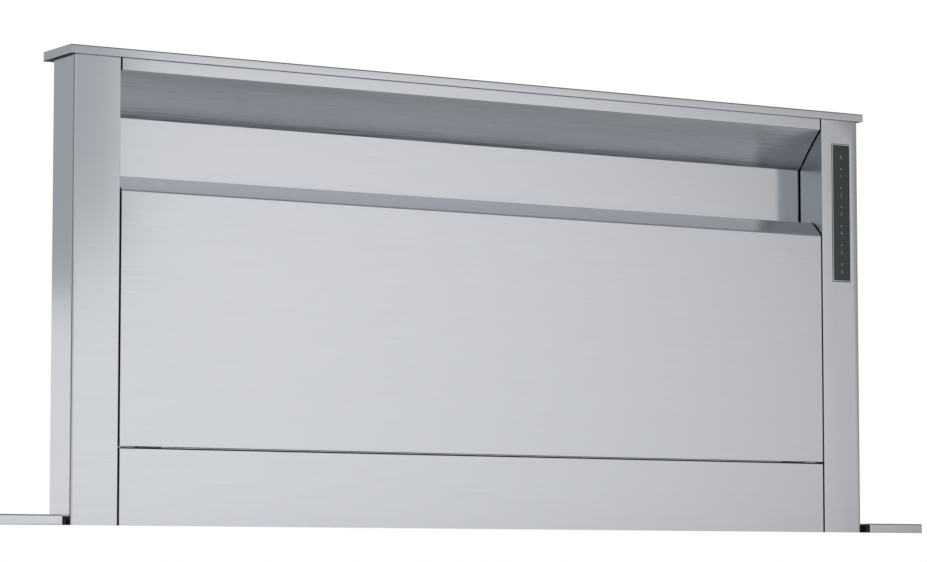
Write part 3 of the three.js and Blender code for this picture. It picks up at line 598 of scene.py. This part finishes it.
def small_part(name, edit, node, material, slot=None):
    bmesh.ops.remove_doubles(edit, verts=edit.verts, dist=0.001 * MM)
    bmesh.ops.recalc_face_normals(edit, faces=edit.faces)
    brushing_uv(edit)
    piece = new_piece(name, edit, node, material, slot)
    print(name, len(piece.data.polygons), "faces")
    return piece

# %% [markdown]
# ## Screws and rivets
#
# The sheets are held by self-tapping screws with a hexagon head on a washer, and by blind rivets
# with the dimple of a pulled stem. Both are turned, and the screw gets a six-sided block. Copies of
# one object would do, but one piece for each set is simpler to carry.

# %% Screws and rivets
STEEL, RUBBER_AND_SHADE = (machined, "machined_steel"), (seal_and_shade_rubber, "rubber_seal")
RIVETS_IN_ROW = 7
RIVET_TO_EDGE, SIDE_RIVET_TO_EDGE = 9, 10
ROW_TO_CORNER, COLUMN_TO_CORNER = 60, 28


def hex_screw(edit, place_mm, size=4.0):
    """Adds a hexagon head that faces forward; size is the thread's diameter."""
    axis = axis_at(place_mm, TO_FRONT)
    rim, top, under_head = 1.25 * size, 0.28 * size, 0.95 * size
    washer = [(0, 0), (rim, 0), (rim, 0.12 * size), (under_head, top), (0, top)]
    turned(edit, washer, axis, steps=16)
    hexagon(edit, axis, 0.25 * size, 0.85 * size, 0.92 * size, 0.82 * size)


def rivet(edit, place_mm, towards):
    dome = [(0, 0), (3.2, 0), (3.1, 0.5), (2.4, 1.0), (1.3, 1.2), (1.0, 0.9), (0, 0.9)]
    turned(edit, dome, axis_at(place_mm, towards), steps=12)


sheet_low, sheet_high = in_mm("housing_front")
back_face = in_mm("housing_back")[1].y
front_face = sheet_low.y
edit = bmesh.new()
for side in (-1, 1):
    for z in spread(sheet_low.z + COLUMN_TO_CORNER, sheet_high.z - COLUMN_TO_CORNER, RIVETS_IN_ROW):
        rivet(edit, (side * (sheet_high.x - RIVET_TO_EDGE), front_face, z), TO_FRONT)
        for y in (front_face + SIDE_RIVET_TO_EDGE, back_face - SIDE_RIVET_TO_EDGE):
            rivet(edit, (side * sheet_high.x, y, z), (side, 0, 0))
for x in spread(sheet_low.x + ROW_TO_CORNER, sheet_high.x - ROW_TO_CORNER, RIVETS_IN_ROW):
    for z in (sheet_low.z + RIVET_TO_EDGE, sheet_high.z - RIVET_TO_EDGE):
        rivet(edit, (x, front_face, z), TO_FRONT)
small_part("housing_rivets", edit, "housing_front", *STEEL)

# %% [markdown]
# ## The blower's motor plate
#
# The blower's outer plate carries the motor, so it has a pressed ring round the motor and a row of
# screws along its flange. The ring could be pressed into the plate's own mesh, but a turned ring
# laid on it looks the same and stays round.

# %% Motor plate screws and ring
SCREW_TO_EDGE, SCREWS_IN_ROW = 9, 6
RING_PROFILE = [(70, -0.5), (70, 0), (73, 2.0), (84, 2.0), (88, 0), (88, -0.5), (70, -0.5)]

plate_low, plate_high = in_mm("motor_plate")
motor_low, motor_high = in_mm("fan_motor")
motor_x, motor_z = (motor_low.x + motor_high.x) / 2, (motor_low.z + motor_high.z) / 2
motor_radius = (motor_high.x - motor_low.x) / 2
plate_face = plate_low.y
left, right = plate_low.x + SCREW_TO_EDGE, plate_high.x - SCREW_TO_EDGE
bottom, top = plate_low.z + SCREW_TO_EDGE, plate_high.z - SCREW_TO_EDGE
edit = bmesh.new()
places = [(x, z) for x in spread(left, right, SCREWS_IN_ROW) for z in (bottom, top)]
places += [(x, z) for z in spread(bottom, top, SCREWS_IN_ROW)[1:-1] for x in (left, right)]
for x, z in places:
    hex_screw(edit, (x, plate_face, z))
small_part("motor_plate_screws", edit, "motor_plate", *STEEL)

edit = bmesh.new()
turned(edit, RING_PROFILE, axis_at((motor_x, plate_face, motor_z), TO_FRONT), steps=64)
small_part("motor_plate_ring", edit, "motor_plate", galvanised)

# %% [markdown]
# ## The fan's motor
#
# An external motor in a black enamelled can, with cooling ribs, a domed end and a flange. The can
# is one turned profile, and the ribs are thin boxes set round it. An array modifier could place
# them too, but turning each box keeps the motor one mesh.

# %% Fan motor
RIB_COUNT, HALF_RIB = 28, 0.9
FLANGE_THICKNESS = 3

can_back, can_front = motor_high.y, motor_low.y
flange_top = can_back - plate_face + FLANGE_THICKNESS
can_height = can_back - can_front
can_radius = motor_radius - 9
spigot_radius = motor_radius - 4
motor_axis = axis_at((motor_x, can_back, motor_z), TO_FRONT)
edit = bmesh.new()
flange_bottom = flange_top - FLANGE_THICKNESS
profile = [(0, 0), (spigot_radius, 0), (spigot_radius, flange_bottom)]
profile += [(motor_radius, flange_bottom), (motor_radius, flange_top - 0.6)]
profile += [(motor_radius - 0.6, flange_top), (can_radius, flange_top)]
for inwards, down in ((0, 11), (2, 6.5), (7, 4)):
    profile.append((can_radius - inwards, can_height - down))
profile += [(17, can_height - 2.5), (15, can_height - 0.4), (14, can_height), (0, can_height)]
turned(edit, profile, motor_axis, steps=64)
rib_foot = (can_radius - 1, -HALF_RIB, flange_top - 0.5)
rib_end = (motor_radius - 3.5, HALF_RIB, can_height - 10)
for i in range(RIB_COUNT):
    before = set(edit.verts)
    box_in(edit, rib_foot, rib_end, 0.5)
    turn = Matrix.Rotation(2 * math.pi * (i + 0.5) / RIB_COUNT, 4, "Z")
    added = [vertex for vertex in edit.verts if vertex not in before]
    bmesh.ops.transform(edit, verts=added, matrix=motor_axis @ turn)
can = small_part("fan_motor_finished", edit, "fan_motor", black_enamel)
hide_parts("fan_motor")

# %% [markdown]
# ## The outlet's bead
#
# A rolled bead near the collar's end keeps a hose clamp from sliding off. It is a turned hoop that
# sits on the collar. A torus would be rounder than a rolled bead is.

# %% Outlet bead
BEAD_TO_END = 14
BEAD_PROFILE = [(-0.3, -2.2), (0, -2.2), (1.1, -1.5), (1.6, 0), (1.1, 1.5), (0, 2.2), (-0.3, 2.2)]

collar = frame["nodes"]["outlet_collar"].data.vertices
collar_end = max(vertex.co.x for vertex in collar)
end_ring = [vertex.co for vertex in collar if vertex.co.x > collar_end - 0.1 * MM]
ring_y, ring_z = [co.y for co in end_ring], [co.z for co in end_ring]
collar_y, collar_z = [(min(ring) + max(ring)) / 2 / MM for ring in (ring_y, ring_z)]
collar_radius = (max(ring_z) - min(ring_z)) / 2 / MM
edit = bmesh.new()
hoop = [(collar_radius + out, along) for out, along in BEAD_PROFILE + BEAD_PROFILE[:1]]
bead_axis = axis_at((collar_end / MM - BEAD_TO_END, collar_y, collar_z), (1, 0, 0))
turned(edit, hoop, bead_axis, steps=96)
small_part("outlet_bead", edit, "outlet_collar", galvanised)

# %% [markdown]
# ## Covers and plates on the housing
#
# The control box has a screwed lid with pressed louvres that let its heat out, a second cover opens
# to the lift's gearbox, and a bare plate sits where a maker puts the rating plate. Lines in a
# material would do from afar, but real edges catch the light.

# %% Covers and plates
LID, LID_MARGIN, LOUVRES = 1.2, 2, 6
COVER_X, COVER_Z = (40, 280), (420, 580)
TO_RIM = 10
PLATE_X, PLATE_Z, PIN_TO_EDGE = (-190, -110), (560, 600), 4
PIN_PROFILE = [(0, 0), (1.6, 0), (1.3, 0.6), (0, 0.8)]

box_low, box_high = in_mm("control_box")
lid_face = box_low.y - LID
lid_low = (box_low.x + LID_MARGIN, lid_face, box_low.z + LID_MARGIN)
edit = bmesh.new()
box_in(edit, lid_low, (box_high.x - LID_MARGIN, box_low.y, box_high.z - LID_MARGIN), 0.5)
for i in range(LOUVRES):
    louvre_z = box_high.z - 30 - 9 * i
    louvre_low = (box_low.x + 78, lid_face - 1.8, louvre_z)
    box_in(edit, louvre_low, (box_high.x - 16, lid_face + 0.4, louvre_z + 3.6), 0.8)
small_part("control_box_lid", edit, "control_box", galvanised)

cover_face = front_face - LID
edit = bmesh.new()
box_in(edit, (COVER_X[0], cover_face, COVER_Z[0]), (COVER_X[1], front_face, COVER_Z[1]), 0.5)
small_part("access_cover", edit, "housing_front", galvanised)

edit = bmesh.new()
for x in (box_low.x + TO_RIM, box_high.x - TO_RIM):
    for z in (box_low.z + TO_RIM, box_high.z - TO_RIM):
        hex_screw(edit, (x, lid_face, z), size=3)
for x in spread(COVER_X[0] + TO_RIM, COVER_X[1] - TO_RIM, 3):
    for z in (COVER_Z[0] + TO_RIM, COVER_Z[1] - TO_RIM):
        hex_screw(edit, (x, cover_face, z))
small_part("cover_screws", edit, "housing_front", *STEEL)

plate_front = front_face - 0.5
edit = bmesh.new()
box_in(edit, (PLATE_X[0], plate_front, PLATE_Z[0]), (PLATE_X[1], front_face, PLATE_Z[1]), 0.2)
small_part("bare_plate", edit, "housing_front", satin_rim, "aluminium_sheet")
edit = bmesh.new()
for x in (PLATE_X[0] + PIN_TO_EDGE, PLATE_X[1] - PIN_TO_EDGE):
    for z in (PLATE_Z[0] + PIN_TO_EDGE, PLATE_Z[1] - PIN_TO_EDGE):
        turned(edit, PIN_PROFILE, axis_at((x, plate_front, z), TO_FRONT), steps=10)
small_part("bare_plate_pins", edit, "housing_front", *STEEL)

# %% [markdown]
# ## The cable gland
#
# A nylon gland in the control box's floor: a hexagon body, a domed nut with six flats at its foot,
# and a rubber sleeve in its mouth. The CAD solid has only its outline, so the gland is made again
# from two hexagons and a turned dome.

# %% Cable gland
SLEEVE_BORE, MOUTH, SLEEVE_FOOT = 2.6, 4.4, 15.2

gland_low, gland_high = in_mm("cable_gland")
gland_x, gland_y = (gland_low.x + gland_high.x) / 2, (gland_low.y + gland_high.y) / 2
gland_radius, tip = (gland_high.x - gland_low.x) / 2, gland_high.z - gland_low.z
gland_axis = axis_at((gland_x, gland_y, gland_high.z), DOWN)
edit = bmesh.new()
hexagon(edit, gland_axis, 0, 5, gland_radius, gland_radius)
hexagon(edit, gland_axis, 6, 10, gland_radius - 1, gland_radius - 1)
dome = [(0, 4.5), (7.2, 4.5), (7.2, 10), (8.2, 10), (7.6, 14), (6.2, tip - 0.6)]
dome += [(5.4, tip), (MOUTH, tip)]
dome += [(MOUTH, tip - 3), (0, tip - 3)]
turned(edit, dome, gland_axis)
gland = small_part("cable_gland_finished", edit, "cable_gland", dark_nylon)
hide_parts("cable_gland")
edit = bmesh.new()
sleeve = [(SLEEVE_BORE, SLEEVE_FOOT), (MOUTH, SLEEVE_FOOT), (MOUTH, tip)]
sleeve += [(SLEEVE_BORE, tip), (SLEEVE_BORE, SLEEVE_FOOT)]
turned(edit, sleeve, gland_axis, steps=20)
small_part("gland_sleeve", edit, "cable_gland", *RUBBER_AND_SHADE)

# %% [markdown]
# ## Grease filters
#
# Each filter is a stack of expanded aluminium in a folded frame: sheet that is slit and pulled into
# diamonds. A transparent pattern would lack the strands' depth. So a grid's quads are poked and
# their first edges dissolved, which leaves diamonds, and Wireframe makes strands of them. The net
# lies on both faces of the CAD slab, whose own finish shows the finer layers between, with painted
# shade in their holes.

# %% Finer layers
LONG_WAY, SHORT_WAY = 12.0, 6.0  # one diamond
STRAND_SHARE = 0.3


def filter_layers(name, tilt):
    """Layers of expanded metal with painted shade in their holes, in a slab that leans by an angle.
    """
    made, tree = new_material(name)
    place = add_node(tree, "TexCoord").outputs["Object"]
    flat = add_node(tree, "Mapping", {"Vector": place, "Rotation": (-tilt, 0, 0)}).outputs[0]
    axes = add_node(tree, "SeparateXYZ", {0: flat}).outputs
    across = maths(tree, "MULTIPLY", axes["X"], 2 / (LONG_WAY * MM))
    along = maths(tree, "MULTIPLY", axes["Z"], 2 / (SHORT_WAY * MM))
    strands = []
    for way in ("ADD", "SUBTRACT"):
        part = maths(tree, "FRACT", maths(tree, way, across, along))
        strands.append(maths(tree, "LESS_THAN", part, STRAND_SHARE))
    net = maths(tree, "MAXIMUM", *strands)
    # The dark tone is painted shade in the holes; the pale one is the strands' own colour.
    tones = {"Factor": net, 6: linear("#2B2D2E"), 7: linear("#B9BBBD")}
    tinted = add_node(tree, "Mix", tones, data_type="RGBA").outputs[2]
    relief = dented(tree, net, 0.8, 0.4)
    principled(tree, Base_Color=tinted, Metallic=1, Roughness=0.42, Normal=relief)
    return made


# %% Filters
STRAND, NET_PROUD, NET_INSET = 0.9, 0.1, 0.5


def merge_into(edit, extra):
    """Adds one bmesh to another and frees it."""
    mesh = bpy.data.meshes.new("extra")
    extra.to_mesh(mesh)
    extra.free()
    edit.from_mesh(mesh)
    bpy.data.meshes.remove(mesh)


for side in ("left", "right"):
    node = "filter_mesh_" + side
    slab = merged_copy(node)
    face = max(slab.faces, key=lambda face: face.calc_area())
    middle = sum((vertex.co for vertex in slab.verts), Vector()) / len(slab.verts)
    normal = face.normal if face.normal.y < 0 else -face.normal
    half_thickness = abs((face.calc_center_median() - middle).dot(normal))
    up = Vector((1, 0, 0)).cross(normal)
    up = up if up.z > 0 else -up
    reach = max(abs((vertex.co - middle).dot(up)) for vertex in slab.verts)
    width = max(abs(vertex.co.x - middle.x) for vertex in slab.verts)
    slab.free()
    columns, rows = round(2 * width / MM / LONG_WAY), round(2 * reach / MM / SHORT_WAY)
    lie = Matrix((Vector((1, 0, 0)), up, -normal)).transposed().to_4x4()
    stretch = Matrix.Diagonal((width - NET_INSET * MM, reach - NET_INSET * MM, 1, 1))
    edit = bmesh.new()
    for outwards in (1, -1):
        layer = bmesh.new()
        bmesh.ops.create_grid(layer, x_segments=columns, y_segments=rows, size=1)
        first_edges = [edge for edge in layer.edges if not edge.is_boundary]
        bmesh.ops.poke(layer, faces=layer.faces)
        bmesh.ops.dissolve_edges(layer, edges=first_edges, use_verts=False)
        place = Matrix.Translation(middle + normal * outwards * (half_thickness + NET_PROUD * MM))
        bmesh.ops.transform(layer, verts=layer.verts, matrix=place @ lie @ stretch)
        wires = {"thickness": STRAND * MM, "offset": 0, "use_even_offset": False}
        bmesh.ops.wireframe(layer, faces=layer.faces, use_replace=True, use_boundary=True, **wires)
        merge_into(edit, layer)
    brushing_uv(edit)
    net = new_piece("filter_net_" + side, edit, node, aluminium, smooth=False)
    tilt = math.atan2(normal.z, -normal.y)
    dress(node, filter_layers("expanded_aluminium_layers_" + side, tilt))
    print(net.name, len(net.data.polygons), "faces, tilt", round(math.degrees(tilt), 1))

# %% [markdown]
# ## Seals and shadow gaps
#
# A black strip behind the seam between the front panels is painted shade, so the seam shows as an
# even dark line. Rubber lips on the trim plates stay clear of the lowered cap; being black, they
# are also painted shade in the slot's gap. A thin black band on each post's foot, in the rest of
# the slot, strips beside the front panel and a sheet under the cap's ends are painted shade where
# there is only shadow. A seal's soft shape hardly shows, so all are boxes, cut to the ledge's slope
# beside it.

# %% Seals
SEAM_OVERLAP, SEAM_SHY = 0.4, 0.6
LIP_SHY, LIP_LOW = 0.8, 1.2
# Sizes of the painted shade: bands on the posts, strips beside the panel, a sheet under the cap.
SHADE_BAND, SHADE_BAND_SHY, SHADE_BAND_BELOW_SLOT = (0.03, 0.23), 0.6, 12
STRIP = (0.7, 0.05)
STRIP_FOOT, STRIP_FRONT, STRIP_BACK, LEDGE_BACK = 584, 0.8, 5.3, 15.3
FOLD, LEDGE_REACH = 12.6, 13
CAP_SHADE_INSET = 1.3

(panel_left, panel_front, seam_high), panel_top = in_mm("front_panel")
seam_low = in_mm("lower_front_panel")[1].z
# Painted shade: a black strip in the seam, so that it shows as an even dark line.
edit = bmesh.new()
strip_low = (panel_left + SEAM_SHY, panel_front + 0.08, seam_low - SEAM_OVERLAP)
box_in(edit, strip_low, (panel_top.x - SEAM_SHY, panel_front + 1.1, seam_high + SEAM_OVERLAP))
small_part("seam_shade_strip", edit, "lower_front_panel", *RUBBER_AND_SHADE)

plate_inner = in_mm("trim_plate_right")[0].x
plate_low, plate_high = in_mm("trim_plate_left")
cap_low, cap_high = in_mm("top_cap")
# Rubber lips on the plates' inner ends; being black, they are also painted shade in the gap.
edit = bmesh.new()
lip_low = (plate_low.y + LIP_SHY, plate_low.z - 0.4)
lip_high = (plate_high.y - LIP_SHY, plate_high.z - LIP_LOW)
mirrored_boxes(edit, cap_high.x + 0.2, plate_inner - 0.1, lip_low, lip_high, 0.3)
small_part("slot_lips_and_gap_shade", edit, "housing_front", *RUBBER_AND_SHADE)

post_low, post_high = in_mm("right_post")
# Painted shade: a thin black band on each post's side in the slot, where there is only shadow.
edit = bmesh.new()
shade_band_low = (post_low.y + SHADE_BAND_SHY, plate_low.z - SHADE_BAND_BELOW_SLOT)
shade_band_high = (post_high.y - SHADE_BAND_SHY, plate_high.z - 1.4)
mirrored_boxes(edit, post_high.x + SHADE_BAND[0], post_high.x + SHADE_BAND[1], shade_band_low, shade_band_high)
small_part("post_shade_bands", edit, "right_post", *RUBBER_AND_SHADE)

fold_bottom = panel_top.z - FOLD
front = panel_front + STRIP_FRONT
# Painted shade: black strips in the gaps between the front panel and the posts, cut to the ledge's
# slope.
edit = bmesh.new()
for side in (-1, 1):
    near, far = sorted(side * (post_low.x - gap) for gap in STRIP)
    box_in(edit, (near, front, STRIP_FOOT), (far, panel_front + STRIP_BACK, fold_bottom - 12))
    ledge_low = (near, front, fold_bottom - 11.9)
    slanting = bmesh.new()
    box_in(slanting, ledge_low, (far, panel_front + LEDGE_BACK, fold_bottom + LEDGE_REACH))
    geometry = slanting.verts[:] + slanting.edges[:] + slanting.faces[:]
    cut_at = Vector((0, panel_front + 0.3, fold_bottom)) * MM
    cut = bmesh.ops.bisect_plane(
        slanting, geom=geometry, plane_co=cut_at, plane_no=(0, -1, 1), clear_outer=True
    )
    rim = [element for element in cut["geom_cut"] if isinstance(element, bmesh.types.BMEdge)]
    bmesh.ops.contextual_create(slanting, geom=rim)
    merge_into(edit, slanting)
small_part("panel_side_shade_strips", edit, "lower_front_panel", *RUBBER_AND_SHADE)

# Painted shade: a thin black sheet under each end of the cap, where it overhangs the posts.
edit = bmesh.new()
cap_shade_low = (cap_low.y + CAP_SHADE_INSET, cap_low.z - 0.2)
cap_shade_high = (cap_high.y - CAP_SHADE_INSET, cap_low.z + 0.05)
mirrored_boxes(edit, post_high.x + 0.2, cap_high.x - CAP_SHADE_INSET, cap_shade_low, cap_shade_high)
small_part("cap_end_shade", edit, "top_cap", *RUBBER_AND_SHADE)

# %% [markdown]
# ## The touch strip
#
# A pane of dark glass lies in a slim satin rim. Its seven fields are printed with plain numbers,
# with a small lamp between each two. The print could be part of the material, but thin flat shapes
# just proud of the pane stay sharp at any distance.


# %% Touch glass
def dark_glass(name):
    """Glass that is printed dark from behind, with a faint haze."""
    made, tree = new_material(name)
    place = add_node(tree, "TexCoord").outputs["Object"]
    haze = add_node(tree, "TexNoise", {"Vector": place, "Scale": 60, "Detail": 2}).outputs["Fac"]
    tinted = shaded(tree, "#2A3130", remap(tree, haze, (0, 1), around(1, 0.04)))
    rough = remap(tree, haze, NOISE_RANGE, (0.16, 0.24))
    principled(tree, Base_Color=tinted, Roughness=rough, IOR=1.5)
    return made


pane = dark_glass("back_printed_glass")
rounded("touch_glass", pane, 0.3)
print("pane:", pane.name)

# %% Print on the glass
NUMBERS, PITCH, NUMBER_HEIGHT = 7, 17.3, 4.6
TOP_TO_NUMBER, NUMBER_TO_DOT = 10.4, 10.6
DOT_RADIUS, PRINT = 0.8, 0.02

print_grey = grained("pale_grey_glass_print", "#8C9293", 0, 0.5, 0.3, 0.002, contrast=0.02)
glass_low, glass_high = in_mm("touch_glass")
glass_x = (glass_low.x + glass_high.x) / 2
first_number = glass_high.z - TOP_TO_NUMBER
edit = bmesh.new()
for number in range(NUMBERS):
    text = bpy.data.curves.new("number", "FONT")
    text.body = str(number)
    text.size = NUMBER_HEIGHT * MM
    text.align_x, text.align_y = "CENTER", "CENTER"
    holder = linked("number", text)
    bpy.context.view_layer.update()
    ready = holder.evaluated_get(bpy.context.evaluated_depsgraph_get())
    shape = bpy.data.meshes.new_from_object(ready)
    bpy.data.objects.remove(holder)
    place = Vector((glass_x, glass_low.y - PRINT, first_number - PITCH * number)) * MM
    shape.transform(Matrix.Translation(place) @ Matrix.Rotation(math.pi / 2, 4, "X"))
    edit.from_mesh(shape)
    bpy.data.meshes.remove(shape)
bmesh.ops.triangulate(edit, faces=edit.faces)
new_piece("touch_numbers", edit, "touch_glass", print_grey, smooth=False)
edit = bmesh.new()
dot = [(0, 0), (DOT_RADIUS, 0), (DOT_RADIUS, PRINT), (0, PRINT)]
for number in range(NUMBERS - 1):
    dot_z = first_number - NUMBER_TO_DOT - PITCH * number
    turned(edit, dot, axis_at((glass_x, glass_low.y, dot_z), TO_FRONT), steps=12)
small_part("touch_dots", edit, "touch_glass", print_grey)

# %% [markdown]
# ## The studio
#
# Brushed metal shows the room, so the room is built for it. The Light Path node keeps three apart:
# the camera sees white, matt surfaces an even grey, and glossy ones a room that is dim in front and
# bright behind. It has soft round lights in front and to the right, each a smooth step on the angle
# between ray and light. A picture of a studio would do, but nothing in it can be moved.

# %% World
MATT_LEVEL = 0.55
WALL_LEFT, WALL_RIGHT, ROOM_AHEAD = 1.0, 0.42, 0.26
WHITE = (1, 1, 1, 1)

world = bpy.data.worlds.new("studio")
bpy.context.scene.world = world
world.use_nodes = True
tree = world.node_tree
tree.nodes.clear()
ray = add_node(tree, "TexCoord").outputs["Generated"]
axes = add_node(tree, "SeparateXYZ", {0: ray}).outputs


def smooth_step(tree, value, before, after):
    return remap(tree, value, before, after, interpolation_type="SMOOTHSTEP")


def round_light(azimuth, elevation, inner, outer, strength):
    """The brightness of a round light; azimuth runs from the front to +X."""
    azimuth, elevation = math.radians(azimuth), math.radians(elevation)
    flat = math.cos(elevation)
    towards = (math.sin(azimuth) * flat, -math.cos(azimuth) * flat, math.sin(elevation))
    angle = add_node(tree, "VectorMath", {0: ray, 1: towards}, operation="DOT_PRODUCT")
    rim = (math.cos(math.radians(outer)), math.cos(math.radians(inner)))
    return smooth_step(tree, angle.outputs["Value"], rim, (0, strength))


back_wall = smooth_step(tree, axes["X"], (-0.35, 0.5), (WALL_LEFT, WALL_RIGHT))
room = smooth_step(tree, axes["Y"], (0.0, 0.5), (ROOM_AHEAD, back_wall))
# Azimuth, elevation, inner and outer radius in degrees, and strength.
lights = ((11, 7, 14, 36.4, 0.66), (-32, 5, 8, 25, 0.5), (90, 5, 25, 47, 0.18))
for light in lights:
    room = maths(tree, "ADD", room, round_light(*light))
path = add_node(tree, "LightPath").outputs
sees_room = maths(tree, "MAXIMUM", path["Is Glossy Ray"], path["Is Transmission Ray"])
for_rays = {"Factor": sees_room, "A": MATT_LEVEL, "B": room}
level = add_node(tree, "Mix", for_rays, data_type="FLOAT").outputs[0]
for_camera = {"Factor": path["Is Camera Ray"], "A": level, "B": 1.0}
strength = add_node(tree, "Mix", for_camera, data_type="FLOAT").outputs[0]
background = add_node(tree, "Background", {"Color": WHITE, "Strength": strength})
add_node(tree, "OutputWorld", {"Surface": background.outputs[0]})
print(len(lights), "round lights in the", world.name)

# %% [markdown]
# ## The floor
#
# A product studio has a white floor, here a wide disc. Without it the metal would mirror an empty
# room below. The camera sees the disc paler than it is, so that it melts into the white, and
# reflections see it brighter far in front.

# %% Floor
SHADE_TINT = (0.935, 1.0, 1.02, 1)
FLOOR_AHEAD, FLOOR_NEAR = 0.85, 0.5
FLOOR_RADIUS, FLOOR_GREY, SEEN_PALER = 6, 0.86, 0.32

floor_paint, tree = new_material("white_studio_floor")
grey = (FLOOR_GREY, FLOOR_GREY, FLOOR_GREY, 1)
matt = add_node(tree, "BsdfDiffuse", {"Color": grey}).outputs[0]
place = add_node(tree, "TexCoord").outputs["Object"]
floor_y = add_node(tree, "SeparateXYZ", {0: place}).outputs["Y"]
glow = smooth_step(tree, floor_y, (-2.4, -1.4), (FLOOR_AHEAD, FLOOR_NEAR))
mirrored = add_node(tree, "Emission", {"Color": SHADE_TINT, "Strength": glow}).outputs[0]
path = add_node(tree, "LightPath").outputs
lift = maths(tree, "MULTIPLY", path["Is Camera Ray"], SEEN_PALER)
paler = add_node(tree, "Emission", {"Color": WHITE, "Strength": lift}).outputs[0]
seen = add_node(tree, "AddShader", {0: matt, 1: paler}).outputs[0]
shader = add_node(tree, "MixShader", {0: path["Is Glossy Ray"], 1: seen, 2: mirrored})
add_node(tree, "OutputMaterial", {"Surface": shader.outputs[0]})

edit = bmesh.new()
bmesh.ops.create_circle(edit, cap_ends=True, segments=96, radius=FLOOR_RADIUS)
bmesh.ops.translate(edit, verts=edit.verts, vec=(0, 0, -0.5 * MM))
floor = plain_object("floor", edit, floor_paint)
print("floor radius", FLOOR_RADIUS, "m")

# %% [markdown]
# ## Lamps
#
# Two softboxes in front give the matt pieces and the floor a direction of light, which the even
# world can't. They are wide ellipses, as a point lamp shows as a spark on each rounded edge.

# %% Lamps
CHIMNEY_MIDDLE = Vector((0, 0.08, 0.85))


def softbox(name, place, width, height, power):
    data = bpy.data.lights.new(name, "AREA")
    data.shape = "ELLIPSE"
    data.size, data.size_y = width, height
    data.energy = power
    lamp = linked(name, data)
    lamp.location = place
    lamp.rotation_euler = (CHIMNEY_MIDDLE - Vector(place)).to_track_quat("-Z", "Y").to_euler()
    lamp.visible_camera = False
    print(name, power, "W")


softbox("key_lamp", (-0.6, -2.2, 2.6), width=2.0, height=1.4, power=13)
softbox("front_lamp", (0.85, -1.5, 0.85), width=1.4, height=1.0, power=0.7)

# %% [markdown]
# ## Cards
#
# A far light can't shade one flat face from end to end, so a photographer puts cards near the
# metal. One behind the left side and one in front darken the tops of the side and of the left post,
# and one lies in the worktop's place for the deflector to mirror. Only reflections see them. Shade
# painted on the steel wouldn't move with the view.


# %% Cards
def card(name, corners, brightness, for_camera=False):
    """A flat card of even brightness that only reflections see, or only the camera."""
    edit = bmesh.new()
    edit.faces.new([edit.verts.new(corner) for corner in corners])
    paint, tree = new_material(name)
    tint = WHITE if for_camera else SHADE_TINT
    glow = add_node(tree, "Emission", {"Color": tint, "Strength": brightness})
    add_node(tree, "OutputMaterial", {"Surface": glow.outputs[0]})
    made = plain_object(name, edit, paint)
    made.visible_camera = for_camera
    made.visible_glossy = not for_camera
    made.visible_diffuse = False
    made.visible_transmission = False
    made.visible_shadow = False
    print(name, "glows at", brightness)


def standing_card(name, middle, facing, width, height, brightness):
    middle, up = Vector(middle), Vector((0, 0, height / 2))
    across = Vector((facing[1], -facing[0], 0)).normalized() * width / 2
    left, right = middle - across, middle + across
    card(name, [left - up, right - up, right + up, left + up], brightness)


def lying_card(name, low, high, z, brightness):
    (left, front), (right, back) = low, high
    card(name, [(left, front, z), (right, front, z), (right, back, z), (left, back, z)], brightness)


standing_card("card_behind_left", (-0.66, 0.62, 1.38), (0.42, -0.9), 1.3, 0.9, brightness=0.5)
standing_card("card_front_left", (-0.39, -0.75, 1.46), (-0.42, 0.9), 0.8, 0.94, brightness=0.57)
lying_card("card_worktop", (-0.6, -0.25), (0.6, 0.03), z=0.66, brightness=0.325)

# %% [markdown]
# ## The dark card over the cap
#
# In the photograph the cap's wide bend mirrors the dark room above as a thin line. So a nearly
# black card hangs over it. A darker world would do this too, but also dim every other face that
# looks up.

# %% Dark card over the cap
OVER_CAP, BESIDE_CAP, BEHIND_CAP = 0.16, 0.12, 0.3

cap_low, cap_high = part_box("top_cap")
lying_card(
    "dark_card_over_cap",
    (cap_low.x - BESIDE_CAP, cap_low.y),
    (cap_high.x + BESIDE_CAP, cap_high.y + BEHIND_CAP),
    z=cap_high.z + OVER_CAP,
    brightness=0.02,
)

# %% [markdown]
# ## The worktop's edge
#
# The worktop hides everything below the trim plates. A slab would do so from every side. So a white
# card, smaller than a grain of rice, stands some 4 mm in front of the lens and covers that part of
# this one view.

# %% Lens card
NEAR_LENS, CARD_DROP, HALF_VIEW = 0.0015, 0.6, 0.8

slot_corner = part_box("trim_plate_left")[0]
eye = camera.location
lens_down = camera.rotation_euler.to_matrix() @ Vector((0, -CARD_DROP * MM, 0))
ends = [Vector((x, slot_corner.y, slot_corner.z)) for x in (-HALF_VIEW, HALF_VIEW)]
rim = [eye + (end - eye) * NEAR_LENS for end in ends]
card("card_at_lens", [rim[0], rim[1], rim[1] + lens_down, rim[0] + lens_down], 1, for_camera=True)
